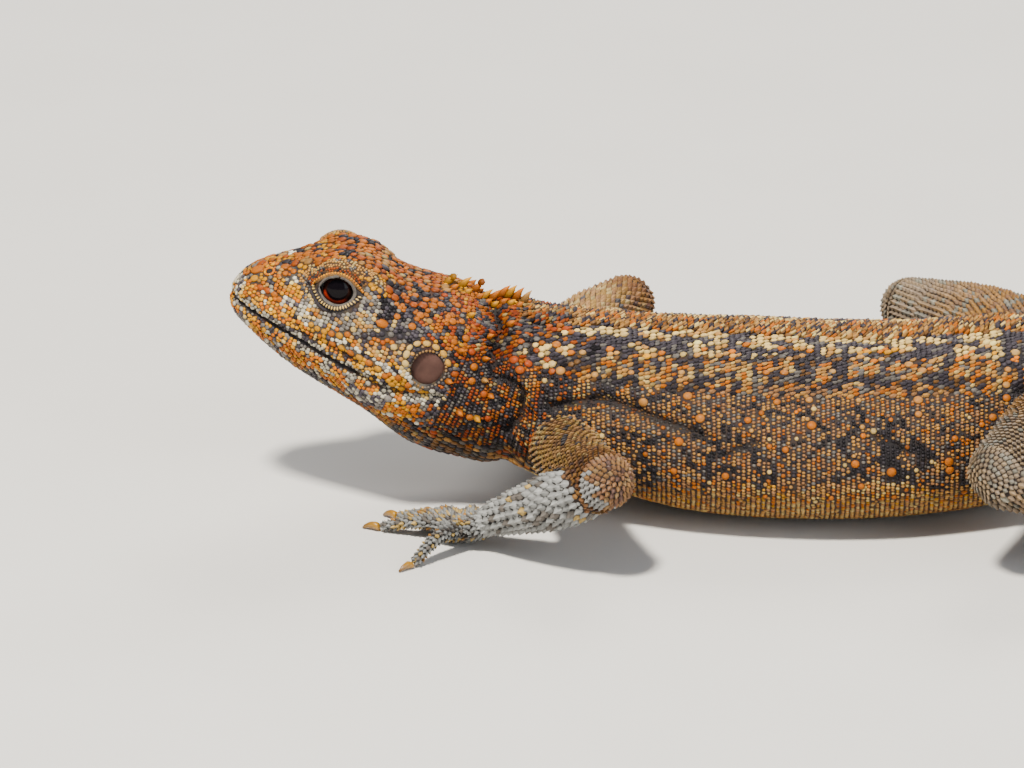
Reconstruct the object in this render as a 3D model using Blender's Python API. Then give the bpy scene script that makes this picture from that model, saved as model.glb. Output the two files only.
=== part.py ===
"""Western netted dragon, life size, lying on its belly with its head raised and its tail in a slow curve.

X runs from head to tail, Z is up, and the origin is on the flat of the belly. The head points along -X,
so the animal's left side is at -Y. Sizes are in millimetres and become metres where a mesh is made.
"""

import math

import bmesh
import bpy
import numpy as np
from mathutils import Vector

MM = 0.001
GAP = 0.3
SMOOTH_UNDER = 50.0

# Head, in its own frame: s runs back from the snout along the jaw, h stands up from it
SNOUT_X = -62.9
SNOUT_Z = 25.0
HEAD_PITCH = math.radians(25.0)
HEAD_END = 26.0
# s, top, widest level, bottom, half width
HEAD_SECTIONS = (
    (-0.5, 0.9, 0.2, -0.6, 0.8),
    (0.0, 2.3, 0.3, -1.6, 2.0),
    (1.0, 3.7, 0.4, -2.5, 3.1),
    (2.5, 5.1, 0.5, -3.2, 4.1),
    (5.0, 6.9, 0.8, -4.1, 5.4),
    (7.5, 8.8, 1.2, -4.8, 6.5),
    (10.0, 10.2, 1.5, -5.3, 7.6),
    (13.0, 10.5, 1.6, -5.6, 8.8),
    (16.0, 9.9, 1.6, -5.8, 9.7),
    (19.0, 10.0, 1.6, -6.2, 10.2),
    (22.5, 10.8, 1.8, -7.3, 10.0),
    (26.0, 11.1, 2.1, -8.0, 9.5),
)

# Neck and torso: t, x, z of the widest level, lean of the section, height above, height below, half width
TORSO_START = 35.5
VENT = 103.0
BODY_SECTIONS = (
    (31.0, -34.2, 14.6, 15.0, 9.3, 10.0, 9.4),
    (36.5, -29.5, 12.6, 7.0, 9.6, 9.2, 10.6),
    (42.0, -24.0, 11.2, 0.0, 10.1, 8.2, 12.2),
    (47.0, -19.0, 10.2, 0.0, 10.4, 8.4, 13.8),
    (54.0, -12.0, 9.2, 0.0, 10.8, 8.9, 15.7),
    (62.0, -4.0, 8.5, 0.0, 11.1, 8.8, 17.0),
    (70.0, 4.0, 8.2, 0.0, 10.9, 8.6, 17.5),
    (78.0, 12.0, 8.3, 0.0, 10.8, 8.6, 16.9),
    (85.0, 19.0, 8.8, 0.0, 10.9, 8.8, 15.2),
    (92.0, 26.0, 9.5, 0.0, 10.8, 8.7, 12.8),
    (98.0, 32.0, 9.6, 0.0, 9.6, 7.6, 10.3),
    (103.0, 37.0, 9.0, 0.0, 8.2, 6.9, 8.2),
)

# Tail, laid on the floor: distance behind the vent, z, height above, height below, half width
TAIL_LENGTH = 138.0
TAIL_SWING = 0.55
TAIL_WAVE = 70.0
TAIL_SECTIONS = (
    (6.0, 7.6, 6.8, 6.2, 6.7),
    (14.0, 5.7, 5.3, 5.2, 5.4),
    (25.0, 4.2, 4.1, 4.3, 4.3),
    (45.0, 3.1, 3.1, 3.3, 3.3),
    (70.0, 2.2, 2.2, 2.4, 2.4),
    (100.0, 1.35, 1.35, 1.5, 1.5),
    (125.0, 0.75, 0.75, 0.85, 0.85),
    (138.0, 0.45, 0.45, 0.5, 0.5),
)
TAIL_PARTS = (("tail_base", 0.0, 40.0, 18), ("tail_middle", 40.0, 88.0, 14), ("tail_tip", 88.0, 138.0, 12))

# Ridges (+) and grooves (-) on the side of the head: height, width, points (s, h)
HEAD_RELIEF = (
    (0.55, 1.2, ((4.8, 7.0), (8.0, 9.0), (11.0, 9.8), (14.0, 8.8))),
    (-0.35, 0.9, ((5.0, 5.4), (6.4, 4.6))),
    (0.25, 0.7, ((0.6, 0.7), (5.0, 0.6), (10.0, 0.6), (15.0, 0.9))),
    (0.25, 0.7, ((0.6, -1.7), (5.0, -1.7), (10.0, -1.7), (15.0, -1.5))),
    (-0.4, 0.7, ((2.4, 2.3), (5.4, 2.3))),
    (0.6, 2.6, ((17.5, -1.5), (20.0, -2.0))),
    (-0.5, 1.0, ((16.5, -0.6), (19.0, -0.4), (24.5, -0.2))),
    (-0.5, 1.8, ((15.5, 6.2), (17.0, 5.6))),
    (0.4, 0.7, ((2.3, 4.6), (3.6, 4.7))),
)
# Folds of the neck, shoulder and flank on one side: height, width, points (x, y, z)
BODY_RELIEF = (
    (-1.3, 1.5, ((-33.6, -3.0, 23.1), (-33.0, -5.5, 21.7), (-33.9, -8.3, 18.6), (-32.4, -9.3, 15.5),
                 (-30.6, -10.0, 13.3), (-32.3, -9.5, 11.7), (-32.2, -6.5, 5.3), (-32.6, 0.0, 4.4))),
    (0.7, 1.6, ((-30.5, -9.0, 19.0), (-30.0, -10.0, 17.0))),
    (-0.9, 1.6, ((-27.2, -11.0, 14.7), (-21.0, -12.0, 15.9), (-16.5, -14.0, 15.0), (-10.2, -16.0, 13.3))),
    (-0.5, 1.2, ((-7.6, -17.0, 11.4), (-4.0, -17.2, 12.9))),
    (-0.5, 1.2, ((9.4, -17.0, 13.5), (13.0, -17.0, 11.6))),
    (-0.6, 1.6, ((22.0, -13.8, 14.2), (25.0, -12.8, 16.0))),
)

MOUTH_CORNER = 15.6
MOUTH_LEVEL = -0.5
MOUTH_DEPTH = 0.7
MOUTH_OPEN = 0.34
# The cut of the mouth fades out over this length before the corner, and passes the lips by this much
MOUTH_FADE, MOUTH_FADE_LEFT, MOUTH_PAST = 2.0, 0.1, 2.0
MOUTH_MIDDLE = 10.0
MOUTH_STEPS = 18
LOWEST_SHARE = 0.98

EYE_RADIUS = 2.5
EYE_CENTRE = (-51.0, -4.5, 26.9)
EYE_AXIS = (-0.12, -0.98, 0.12)
# Share of the head's pitch that the line of the lids follows
EYE_PITCH = 0.4
LID_THICKNESS = 0.55
EYE_OPENING = (1.9, 1.55)
OPENING_SIDES = 16
OPENING_START, OPENING_PAST = 1.0, 3.0

EAR_S, EAR_H, EAR_Y = 22.4, 3.4, 9.7
EAR_CUP = (2.0, 1.5, 2.15)
TYMPANUM = (1.5, 0.3, 1.65)
TYMPANUM_DEPTH = 0.75

NOSTRIL_S, NOSTRIL_H = 2.9, 4.6
NOSTRIL_RADIUS, NOSTRIL_DEPTH, NOSTRIL_OUT = 0.5, 1.6, 0.3

# Sides round and rings along each ball shape
LID_MESH, SOCKET_MESH, EYE_MESH = (18, 9), (14, 8), (16, 10)
EAR_MESH, TYMPANUM_MESH, NOSTRIL_MESH = (14, 7), (10, 6), (8, 6)
# Places of the first rings on the snout, then sides round and rings along each length of the trunk
SNOUT_PLACES = (-0.5, -0.3, 0.0, 0.4, 0.9)
HEAD_START, HEAD_SIDES, HEAD_RINGS = 1.5, 48, 30
NECK_SIDES, NECK_RINGS = 40, 11
TORSO_SIDES, TORSO_RINGS = 34, 31
TAIL_RINGS = 15
TAIL_STEPS = 400
CUTTER_SIDES, CUTTER_RINGS, CUTTER_PAST = 40, 50, 14.0
# The ridges of the head fade out between these distances from its middle plane
RELIEF_INNER, RELIEF_FADE, RELIEF_PAST = 0.8, 2.0, 2.0

CREST_START, CREST_END, CREST_COUNT = 21.5, 33.5, 9
CREST_LENGTH, CREST_RADIUS, CREST_LEAN = 1.3, 0.62, 0.5
CONE_SIDES, CONE_SUNK = 5, 0.35
# No spine stands nearer than this to the parting of head and neck
SPINE_MARGIN = 1.0
NECK_CONE_RADIUS, NECK_CONE_LEAN = 0.6, 0.4
# Cone scales behind the ear and on the nape: t, angle from the side towards the top, length
NECK_CONES = (
    (24.9, 30.0, 0.9), (25.1, 8.0, 0.9), (28.3, 48.0, 0.9), (28.8, 30.0, 1.0), (29.6, 14.0, 0.9),
    (31.0, 4.0, 0.8), (28.0, -12.0, 0.8), (30.2, -14.0, 0.8), (24.6, 58.0, 0.8), (31.5, 60.0, 0.8),
)

# Limbs: joint positions on the left side, then on the right side
SHOULDER = ((-26.2, -8.0, 10.0), (-27.0, 8.0, 10.8))
UPPER_ARM = ((-24.3, -18.0, 10.0), (-24.0, 18.0, 12.5))
ELBOW = ((-21.2, -26.8, 12.0), (-18.3, 27.0, 13.0))
FOREARM = ((-26.5, -22.8, 8.2), (-23.6, 26.0, 8.8))
WRIST = ((-33.2, -17.8, 4.1), (-29.4, 24.0, 3.6))
KNUCKLES = ((-38.4, -14.2, 1.15), (-34.6, 25.4, 1.1))
HIP = ((32.0, -5.5, 11.5), (32.0, 5.5, 11.5))
THIGH = ((28.0, -16.8, 13.2), (24.0, 15.5, 13.6))
KNEE = ((22.5, -26.3, 12.9), (14.4, 23.6, 13.8))
SHIN = ((30.0, -27.0, 10.6), (22.5, 26.2, 10.2))
ANKLE = ((38.6, -23.6, 3.7), (31.0, 26.6, 3.7))
TOE_ROOTS = ((38.0, -31.4, 1.1), (30.0, 34.4, 1.1))
# Half width and half height of each limb at its joints
UPPER_ARM_SIZES = ((3.8, 3.8), (4.0, 4.0), (3.3, 3.2))
FOREARM_SIZES = ((3.3, 3.3), (3.3, 3.3), (2.2, 2.0))
THIGH_SIZES = ((6.0, 6.0), (5.2, 5.2), (3.4, 3.4))
SHIN_SIZES = ((3.2, 3.2), (3.1, 3.1), (2.0, 1.9))
PALM_SIZES = ((2.0, 1.8), (2.6, 1.5), (2.4, 1.2))
SOLE_SIZES = ((2.0, 1.8), (2.3, 1.5), (2.4, 1.2))
PALM_SAG, PALM_BEND = 0.35, 0.45
# Share of the forearm, and offset of the shin, where they start past the joint above
FOREARM_START = 0.05
SHIN_START = (0.4, 0.5, 0.8)
# Sides round and rings along the limbs
ARM_MESH, THIGH_MESH, SHIN_MESH, PALM_MESH, DIGIT_MESH = (14, 7), (14, 8), (12, 8), (14, 6), (7, 6)
# Turns of the rings that round off the end of a tube, in degrees from its axis
END_TURNS = (15.0, 42.0, 68.0)

# Digits: length, turn from the middle line of the hand or foot in degrees, first digit first
FINGERS = ((4.2, 50.0), (6.4, 26.0), (7.8, 6.0), (8.0, -14.0), (6.4, -78.0))
TOES = ((4.8, 50.0), (8.0, 30.0), (11.6, 14.0), (14.6, -2.0), (8.0, -46.0))
DIGIT_ROOT, DIGIT_END = 0.95, 0.6
DIGIT_ARCH, DIGIT_END_HEIGHT, DIGIT_MIDDLE = 0.2, 0.56, 0.86
# How far apart digit roots lie across the palm per degree of turn, and how far back they start
ROOT_SPREAD, ROOT_INSET, ROOT_INSET_PER_DEGREE = 0.025, 0.8, 0.033
DIGIT_SUNK = 1.2
CLAW_LENGTH, CLAW_BASE, CLAW_TIP = 2.1, 0.5, 0.1
CLAW_ARCH, CLAW_TIP_HEIGHT = 0.28, 0.12
# Places of a claw's rings, how fast it thins, how narrow it is for its height, and its sides
CLAW_PLACES = (0.0, 0.4, 0.75, 1.0)
CLAW_THINNING, CLAW_NARROW, CLAW_SIDES = 0.7, 0.8, 6

SIDES = ("left", "right")


def smooth_values(rows, t):
    """Values at t on a smooth curve through rows of (t, value, ...)."""
    table = np.asarray(rows, float)
    knots, values = table[:, 0], table[:, 1:]
    slopes = np.gradient(values, knots, axis=0)
    t = np.clip(np.atleast_1d(t), knots[0], knots[-1])
    i = np.clip(np.searchsorted(knots, t, side="right") - 1, 0, len(knots) - 2)
    span = (knots[i + 1] - knots[i])[:, None]
    u = (t - knots[i])[:, None] / span
    near = (1 + 2 * u) * (1 - u) ** 2 * values[i] + u * (1 - u) ** 2 * span * slopes[i]
    far = u * u * (3 - 2 * u) * values[i + 1] + u * u * (u - 1) * span * slopes[i + 1]
    return near + far


def head_place(s, h):
    """World x and z of the head's own s and h."""
    x = SNOUT_X + s * math.cos(HEAD_PITCH) + h * math.sin(HEAD_PITCH)
    z = SNOUT_Z - s * math.sin(HEAD_PITCH) + h * math.cos(HEAD_PITCH)
    return x, z


def head_local(points):
    """The head's own s and h of world points."""
    dx, dz = points[..., 0] - SNOUT_X, points[..., 2] - SNOUT_Z
    s = dx * math.cos(HEAD_PITCH) - dz * math.sin(HEAD_PITCH)
    h = dx * math.sin(HEAD_PITCH) + dz * math.cos(HEAD_PITCH)
    return s, h


def tail_path(d):
    """x, y and heading of the tail's centre line at distance d behind the vent."""
    steps = np.linspace(0.0, TAIL_LENGTH, TAIL_STEPS)
    heading = -TAIL_SWING * np.sin(np.pi * steps / TAIL_WAVE)
    length = steps[1] - steps[0]
    x = np.concatenate(([0.0], np.cumsum(np.cos(heading[1:])) * length))
    y = np.concatenate(([0.0], np.cumsum(np.sin(heading[1:])) * length))
    return np.interp(d, steps, x), np.interp(d, steps, y), np.interp(d, steps, heading)


def trunk_rows():
    """Every section from snout to tail: t, x, y, z, lean, heading, height above and below, half width."""
    rows = []
    for s, top, level, bottom, width in HEAD_SECTIONS:
        x, z = head_place(s, level)
        rows.append((s, x, 0.0, z, HEAD_PITCH, 0.0, top - level, level - bottom, width))
    for t, x, z, lean, up, down, width in BODY_SECTIONS:
        rows.append((t, x, 0.0, z, math.radians(lean), 0.0, up, down, width))
    vent_x = BODY_SECTIONS[-1][1]
    for d, z, up, down, width in TAIL_SECTIONS:
        x, y, heading = tail_path(d)
        rows.append((VENT + d, vent_x + x, y, z, 0.0, heading, up, down, width))
    return rows


TRUNK = trunk_rows()
# Squareness of the sections above and below the widest level: t, upper power, lower power
SQUARENESS = (
    (-0.5, 2.0, 2.0), (6.0, 2.3, 2.1), (12.0, 2.6, 2.2), (20.0, 2.3, 2.2), (30.0, 2.1, 2.1),
    (45.0, 2.1, 2.2), (70.0, 2.1, 2.2), (95.0, 2.1, 2.1), (110.0, 2.0, 2.1), (241.0, 2.0, 2.0),
)


def distance_to(points, line):
    """Distance from each point to a broken line."""
    best = np.full(points.shape[:-1], np.inf)
    for a, b in zip(line[:-1], line[1:]):
        a, b = np.asarray(a, float), np.asarray(b, float)
        along = np.clip(((points - a) @ (b - a)) / ((b - a) @ (b - a)), 0, 1)
        best = np.minimum(best, np.linalg.norm(points - (a + along[..., None] * (b - a)), axis=-1))
    return best


def relief(points, t):
    """Outward shift of trunk points from the ridges, grooves and folds."""
    shift = np.zeros(points.shape[:-1])
    folded = points.copy()
    folded[..., 1] = -np.abs(points[..., 1])
    for height, width, line in BODY_RELIEF:
        shift += height * np.exp(-((distance_to(folded, line) / width) ** 2))
    s, h = head_local(points)
    flat = np.stack([s, h], axis=-1)
    sideways = np.clip((np.abs(points[..., 1]) - RELIEF_INNER) / RELIEF_FADE, 0, 1)
    sideways = sideways * (t[:, None] < HEAD_END + RELIEF_PAST)
    for height, width, line in HEAD_RELIEF:
        shift += height * np.exp(-((distance_to(flat, line) / width) ** 2)) * sideways
    return shift


def trunk_rings(t, sides, grow=0.0):
    """Rings of points on the trunk at the places t, each with that many sides."""
    t = np.atleast_1d(np.asarray(t, float))
    x, y, z, lean, heading, up, down, width = smooth_values(TRUNK, t).T
    upper, lower = smooth_values(SQUARENESS, t).T
    angle = np.linspace(0, 2 * np.pi, sides, endpoint=False) + np.pi / sides
    c, s = np.cos(angle)[None, :], np.sin(angle)[None, :]
    power = np.where(s > 0, upper[:, None], lower[:, None])
    out = (width + grow)[:, None] * np.sign(c) * np.abs(c) ** (2 / power)
    height = np.where(s > 0, (up + grow)[:, None], (down + grow)[:, None])
    rise = height * np.sign(s) * np.abs(s) ** (2 / power)
    side = np.stack([-np.sin(heading), np.cos(heading), 0 * t], axis=-1)
    above = np.stack([np.sin(lean), 0 * t, np.cos(lean)], axis=-1)
    centre = np.stack([x, y, z], axis=-1)
    offset = out[..., None] * side[:, None, :] + rise[..., None] * above[:, None, :]
    rings = centre[:, None, :] + offset
    outward = offset / np.linalg.norm(offset, axis=-1, keepdims=True)
    rings = rings + relief(rings, t)[..., None] * outward
    if grow == 0.0:
        rings[..., 2] = np.maximum(rings[..., 2], 0.0)
    return rings


def new_object(name, bm):
    """An object in metres from a bmesh in millimetres, with its faces pointing out."""
    bmesh.ops.recalc_face_normals(bm, faces=bm.faces)
    if bm.calc_volume(signed=True) < 0:
        bmesh.ops.reverse_faces(bm, faces=bm.faces)
    bmesh.ops.scale(bm, vec=(MM, MM, MM), verts=bm.verts)
    mesh = bpy.data.meshes.new(name)
    bm.to_mesh(mesh)
    bm.free()
    obj = bpy.data.objects.new(name, mesh)
    bpy.context.scene.collection.objects.link(obj)
    return obj


def loft(name, rings):
    """A closed body through rings of points, with a flat cap at each end."""
    bm = bmesh.new()
    loops = [[bm.verts.new(p) for p in ring] for ring in rings]
    count = len(loops[0])
    for near, far in zip(loops[:-1], loops[1:]):
        for i in range(count):
            bm.faces.new((near[i], near[(i + 1) % count], far[(i + 1) % count], far[i]))
    bm.faces.new(loops[0])
    bm.faces.new(loops[-1])
    return new_object(name, bm)


def keep_largest(obj):
    """Keeps only the largest closed surface of a mesh."""
    bm = bmesh.new()
    bm.from_mesh(obj.data)
    bm.verts.ensure_lookup_table()
    seen, groups = set(), []
    for start in bm.verts:
        if start in seen:
            continue
        group, queue = [], [start]
        seen.add(start)
        while queue:
            vert = queue.pop()
            group.append(vert)
            for edge in vert.link_edges:
                other = edge.other_vert(vert)
                if other not in seen:
                    seen.add(other)
                    queue.append(other)
        groups.append(group)
    groups.sort(key=len, reverse=True)
    for group in groups[1:]:
        bmesh.ops.delete(bm, geom=group, context="VERTS")
    bm.to_mesh(obj.data)
    bm.free()


def boolean(obj, others, operation):
    """Joins the others to the object, or cuts them out of it, and removes them."""
    for other in others:
        modifier = obj.modifiers.new("boolean", "BOOLEAN")
        modifier.operation = operation
        modifier.object = other
        graph = bpy.context.evaluated_depsgraph_get()
        mesh = bpy.data.meshes.new_from_object(obj.evaluated_get(graph))
        obj.modifiers.clear()
        obj.data = mesh
        bpy.data.objects.remove(other)
    keep_largest(obj)
    return obj


def ellipsoid(name, centre, radii, axes, mesh):
    """An ellipsoid whose radii lie along three unit axes; mesh gives its sides and rings."""
    bm = bmesh.new()
    bmesh.ops.create_uvsphere(bm, u_segments=mesh[0], v_segments=mesh[1], radius=1.0)
    for vert in bm.verts:
        place = Vector(centre)
        for value, radius, axis in zip(vert.co, radii, axes):
            place = place + Vector(axis) * (value * radius)
        vert.co = place
    return new_object(name, bm)


def cone(name, foot, direction, length, radius):
    """A cone scale whose foot is sunk a little below the surface."""
    direction = Vector(direction).normalized()
    across = direction.orthogonal().normalized()
    other = direction.cross(across)
    bm = bmesh.new()
    base = Vector(foot) - direction * (CONE_SUNK * length)
    loop = []
    for i in range(CONE_SIDES):
        angle = 2 * math.pi * i / CONE_SIDES
        loop.append(bm.verts.new(base + (across * math.cos(angle) + other * math.sin(angle)) * radius))
    tip = bm.verts.new(Vector(foot) + direction * length)
    bm.faces.new(loop)
    for i in range(CONE_SIDES):
        bm.faces.new((loop[i], loop[(i + 1) % CONE_SIDES], tip))
    return new_object(name, bm)


def mirrored(point, side):
    """The point on the left side, or its mirror image on the right side."""
    return (point[0], point[1] if side == "left" else -point[1], point[2])


def surface_point(t, degrees, side):
    """A point on the trunk and its outward direction; 0 degrees is the side and 90 the top."""
    angle = math.radians(degrees)
    x, y, z, lean, heading, up, down, width = smooth_values(TRUNK, t)[0]
    height = up if degrees > 0 else down
    sign = -1.0 if side == "left" else 1.0
    above = Vector((math.sin(lean), 0.0, math.cos(lean)))
    aside = Vector((0, sign, 0))
    point = Vector((x, y, z)) + aside * width * math.cos(angle) + above * height * math.sin(angle)
    outward = aside * math.cos(angle) / width + above * math.sin(angle) / height
    return point, outward.normalized()


def tube_rings(path, sizes, mesh, grow=0.0, ends=(True, True)):
    """Rings along a smooth tube through the path.

    Sizes are the half width and half height at its points; mesh gives its sides and rings.
    """
    sides, steps = mesh
    lengths = np.linalg.norm(np.diff(np.asarray(path, float), axis=0), axis=1)
    knots = np.concatenate(([0.0], np.cumsum(lengths)))
    rows = [(k, *p, *size) for k, p, size in zip(knots, path, sizes)]
    inner = np.linspace(knots[0], knots[-1], steps)
    values = smooth_values(rows, inner)
    centres, widths, heights = values[:, :3], values[:, 3] + grow, values[:, 4] + grow
    tangents = np.gradient(centres, inner, axis=0)
    tangents /= np.linalg.norm(tangents, axis=1, keepdims=True)
    angle = np.linspace(0, 2 * np.pi, sides, endpoint=False) + np.pi / sides
    rings = []

    def add(centre, tangent, width, height):
        across = np.cross(tangent, (0, 0, 1))
        across /= np.linalg.norm(across)
        above = np.cross(across, tangent)
        sideways, upwards = np.outer(np.cos(angle) * width, across), np.outer(np.sin(angle) * height, above)
        rings.append(centre + sideways + upwards)

    def add_end(index, sign):
        reach = min(widths[index], heights[index])
        turns = END_TURNS if sign < 0 else END_TURNS[::-1]
        for turn in turns:
            size, out = math.sin(math.radians(turn)), math.cos(math.radians(turn))
            add(centres[index] + sign * tangents[index] * reach * out, tangents[index],
                widths[index] * size, heights[index] * size)

    if ends[0]:
        add_end(0, -1)
    for centre, tangent, width, height in zip(centres, tangents, widths, heights):
        add(centre, tangent, width, height)
    if ends[1]:
        add_end(-1, 1)
    rings = np.array(rings)
    if grow == 0.0:
        rings[..., 2] = np.maximum(rings[..., 2], 0.0)
    return rings


def tube(name, path, sizes, mesh, grow=0.0, ends=(True, True)):
    """A closed tube, see tube_rings."""
    return loft(name, tube_rings(path, sizes, mesh, grow, ends))


def mouth_blade():
    """A thin blade around the snout at the level of the lips, which cuts the line of the mouth."""
    s = np.linspace(MOUTH_CORNER, HEAD_SECTIONS[0][0], MOUTH_STEPS)
    table = np.asarray(HEAD_SECTIONS)
    levels = smooth_values(table, s)
    level, bottom, width = levels[:, 1], levels[:, 2], levels[:, 3]
    power = smooth_values(SQUARENESS, s)[:, 1]
    below = np.clip((level - MOUTH_LEVEL) / (level - bottom), 0, LOWEST_SHARE)
    reach = width * (1 - below ** power) ** (1 / power)
    line = [(a, -b) for a, b in zip(s, reach)] + [(a, b) for a, b in zip(s[::-1], reach[::-1])]
    line = np.array(line)
    along = np.gradient(line, axis=0)
    normal = np.stack([along[:, 1], -along[:, 0]], axis=-1)
    normal /= np.linalg.norm(normal, axis=1, keepdims=True)
    middle = np.array([MOUTH_MIDDLE, 0.0])
    normal *= np.sign(np.sum(normal * (line - middle), axis=1))[:, None]
    rings = []
    for (place_s, place_y), (out_s, out_y) in zip(line, normal):
        depth = MOUTH_DEPTH * min(1.0, (MOUTH_CORNER - place_s) / MOUTH_FADE + MOUTH_FADE_LEFT)
        ring = []
        half = MOUTH_OPEN / 2
        for reach_out, lift in ((-depth, -half), (MOUTH_PAST, -half), (MOUTH_PAST, half), (-depth, half)):
            x, z = head_place(place_s + out_s * reach_out, MOUTH_LEVEL + lift)
            ring.append((x, place_y + out_y * reach_out, z))
        rings.append(ring)
    return loft("mouth_cut", np.array(rings))


def eye_frame(side):
    """The eyeball's centre and its axes: out, forward along the lids, and up."""
    out = Vector(mirrored(EYE_AXIS, side)).normalized()
    forward = Vector((-math.cos(HEAD_PITCH * EYE_PITCH), 0, math.sin(HEAD_PITCH * EYE_PITCH)))
    forward = (forward - out * forward.dot(out)).normalized()
    up = forward.cross(out)
    if up.z < 0:
        up = -up
    return Vector(mirrored(EYE_CENTRE, side)), out, forward, up


def eye_opening(side):
    """An oval bar along the eye's axis, which opens the lids."""
    centre, out, forward, up = eye_frame(side)
    rings = []
    for reach in (OPENING_START, EYE_RADIUS + OPENING_PAST):
        ring = []
        for i in range(OPENING_SIDES):
            angle = 2 * math.pi * i / OPENING_SIDES
            offset = forward * (EYE_OPENING[0] * math.cos(angle)) + up * (EYE_OPENING[1] * math.sin(angle))
            ring.append(centre + out * reach + offset)
        rings.append(ring)
    return loft("opening_cut", np.array(rings))


def head_axes():
    """The directions back along the head, across it and up from it."""
    back = (math.cos(HEAD_PITCH), 0, -math.sin(HEAD_PITCH))
    above = (math.sin(HEAD_PITCH), 0, math.cos(HEAD_PITCH))
    return back, (0, 1, 0), above


def build_head():
    """The head with its lids, ear cups, nostrils, mouth line and the first spines of the crest."""
    places = np.concatenate((SNOUT_PLACES, np.linspace(HEAD_START, HEAD_END - GAP / 2, HEAD_RINGS)))
    head = loft("head", trunk_rings(places, HEAD_SIDES))
    boolean(head, [mouth_blade()], "DIFFERENCE")
    for side in SIDES:
        centre, out, forward, up = eye_frame(side)
        lids = EYE_RADIUS + GAP + LID_THICKNESS
        axes = (forward, up, out)
        boolean(head, [ellipsoid("lids", centre, (lids, lids, lids), axes, LID_MESH)], "UNION")
        socket = EYE_RADIUS + GAP
        ball = ellipsoid("socket", centre, (socket, socket, socket), axes, SOCKET_MESH)
        boolean(head, [ball, eye_opening(side)], "DIFFERENCE")
        x, z = head_place(EAR_S, EAR_H)
        ear = mirrored((x, -EAR_Y, z), side)
        boolean(head, [ellipsoid("ear_cut", ear, EAR_CUP, head_axes(), EAR_MESH)], "DIFFERENCE")
        x, z = head_place(NOSTRIL_S, NOSTRIL_H)
        nostril = mirrored((x, -nostril_reach(), z), side)
        radii = (NOSTRIL_RADIUS, NOSTRIL_RADIUS * NOSTRIL_DEPTH, NOSTRIL_RADIUS)
        boolean(head, [ellipsoid("nostril_cut", nostril, radii, head_axes(), NOSTRIL_MESH)], "DIFFERENCE")
    add_spines(head, lambda t: t < HEAD_END - SPINE_MARGIN)
    return head


def nostril_reach():
    """Half the width of the snout at the nostril."""
    table = smooth_values(HEAD_SECTIONS, NOSTRIL_S)[0]
    top, level, width = table[0], table[1], table[3]
    return width * math.sqrt(1 - ((NOSTRIL_H - level) / (top - level)) ** 2) + NOSTRIL_OUT


def add_spines(body, wanted):
    """Fuses the crest spines and neck cones at the wanted places to a body."""
    for i in range(CREST_COUNT):
        t = CREST_START + (CREST_END - CREST_START) * i / (CREST_COUNT - 1)
        if wanted(t):
            foot, out = surface_point(t, 90, "left")
            lean = out + Vector((CREST_LEAN, 0, 0))
            boolean(body, [cone("spine", foot, lean, CREST_LENGTH, CREST_RADIUS)], "UNION")
    for side in SIDES:
        for t, degrees, length in NECK_CONES:
            if wanted(t):
                foot, out = surface_point(t, degrees, side)
                lean = out + Vector((NECK_CONE_LEAN, 0, 0))
                boolean(body, [cone("spine", foot, lean, length, NECK_CONE_RADIUS)], "UNION")


def build_eye(side):
    """The eyeball."""
    centre, out, forward, up = eye_frame(side)
    radii = (EYE_RADIUS, EYE_RADIUS, EYE_RADIUS)
    return ellipsoid("eye_" + side, centre, radii, (forward, up, out), EYE_MESH)


def build_tympanum(side):
    """The thin drum at the bottom of the ear cup."""
    x, z = head_place(EAR_S, EAR_H)
    centre = mirrored((x, -(EAR_Y - TYMPANUM_DEPTH), z), side)
    return ellipsoid("tympanum_" + side, centre, TYMPANUM, head_axes(), TYMPANUM_MESH)


def build_neck():
    """The neck, with the fold of the throat and the rest of the crest."""
    places = np.linspace(HEAD_END + GAP / 2, TORSO_START - GAP / 2, NECK_RINGS)
    neck = loft("neck", trunk_rings(places, NECK_SIDES))
    add_spines(neck, lambda t: t > HEAD_END + SPINE_MARGIN)
    return neck


def build_torso():
    """The torso, flat below where it rests on the floor."""
    places = np.linspace(TORSO_START + GAP / 2, VENT - GAP / 2, TORSO_RINGS)
    return loft("torso", trunk_rings(places, TORSO_SIDES))


def build_tail(name, start, end, sides):
    """One length of the tail."""
    last = VENT + end - (GAP / 2 if end < TAIL_LENGTH else 0)
    places = np.linspace(VENT + start + GAP / 2, last, TAIL_RINGS)
    return loft(name, trunk_rings(places, sides))


def trunk_cutter():
    """The neck, torso and root of the tail, larger by the parting gap."""
    places = np.linspace(HEAD_END, VENT + CUTTER_PAST, CUTTER_RINGS)
    return loft("trunk_cut", trunk_rings(places, CUTTER_SIDES, grow=GAP))


def upper_arm(name, i, grow=0.0):
    """The upper arm, round at the elbow."""
    path = (SHOULDER[i], UPPER_ARM[i], ELBOW[i])
    return tube(name, path, UPPER_ARM_SIZES, ARM_MESH, grow)


def forearm(name, i, grow=0.0):
    """The forearm, from the elbow to the wrist."""
    start = Vector(ELBOW[i]) + (Vector(FOREARM[i]) - Vector(ELBOW[i])) * FOREARM_START
    path = (tuple(start), FOREARM[i], WRIST[i])
    return tube(name, path, FOREARM_SIZES, ARM_MESH, grow)


def thigh(name, i, grow=0.0):
    """The thigh, round at the knee."""
    path = (HIP[i], THIGH[i], KNEE[i])
    return tube(name, path, THIGH_SIZES, THIGH_MESH, grow)


def shin(name, i, grow=0.0):
    """The shin, folded back against the thigh."""
    back, out, down = SHIN_START
    start = Vector(KNEE[i]) + Vector((back, -out if i == 0 else out, -down))
    path = (tuple(start), SHIN[i], ANKLE[i])
    return tube(name, path, SHIN_SIZES, SHIN_MESH, grow)


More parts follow.
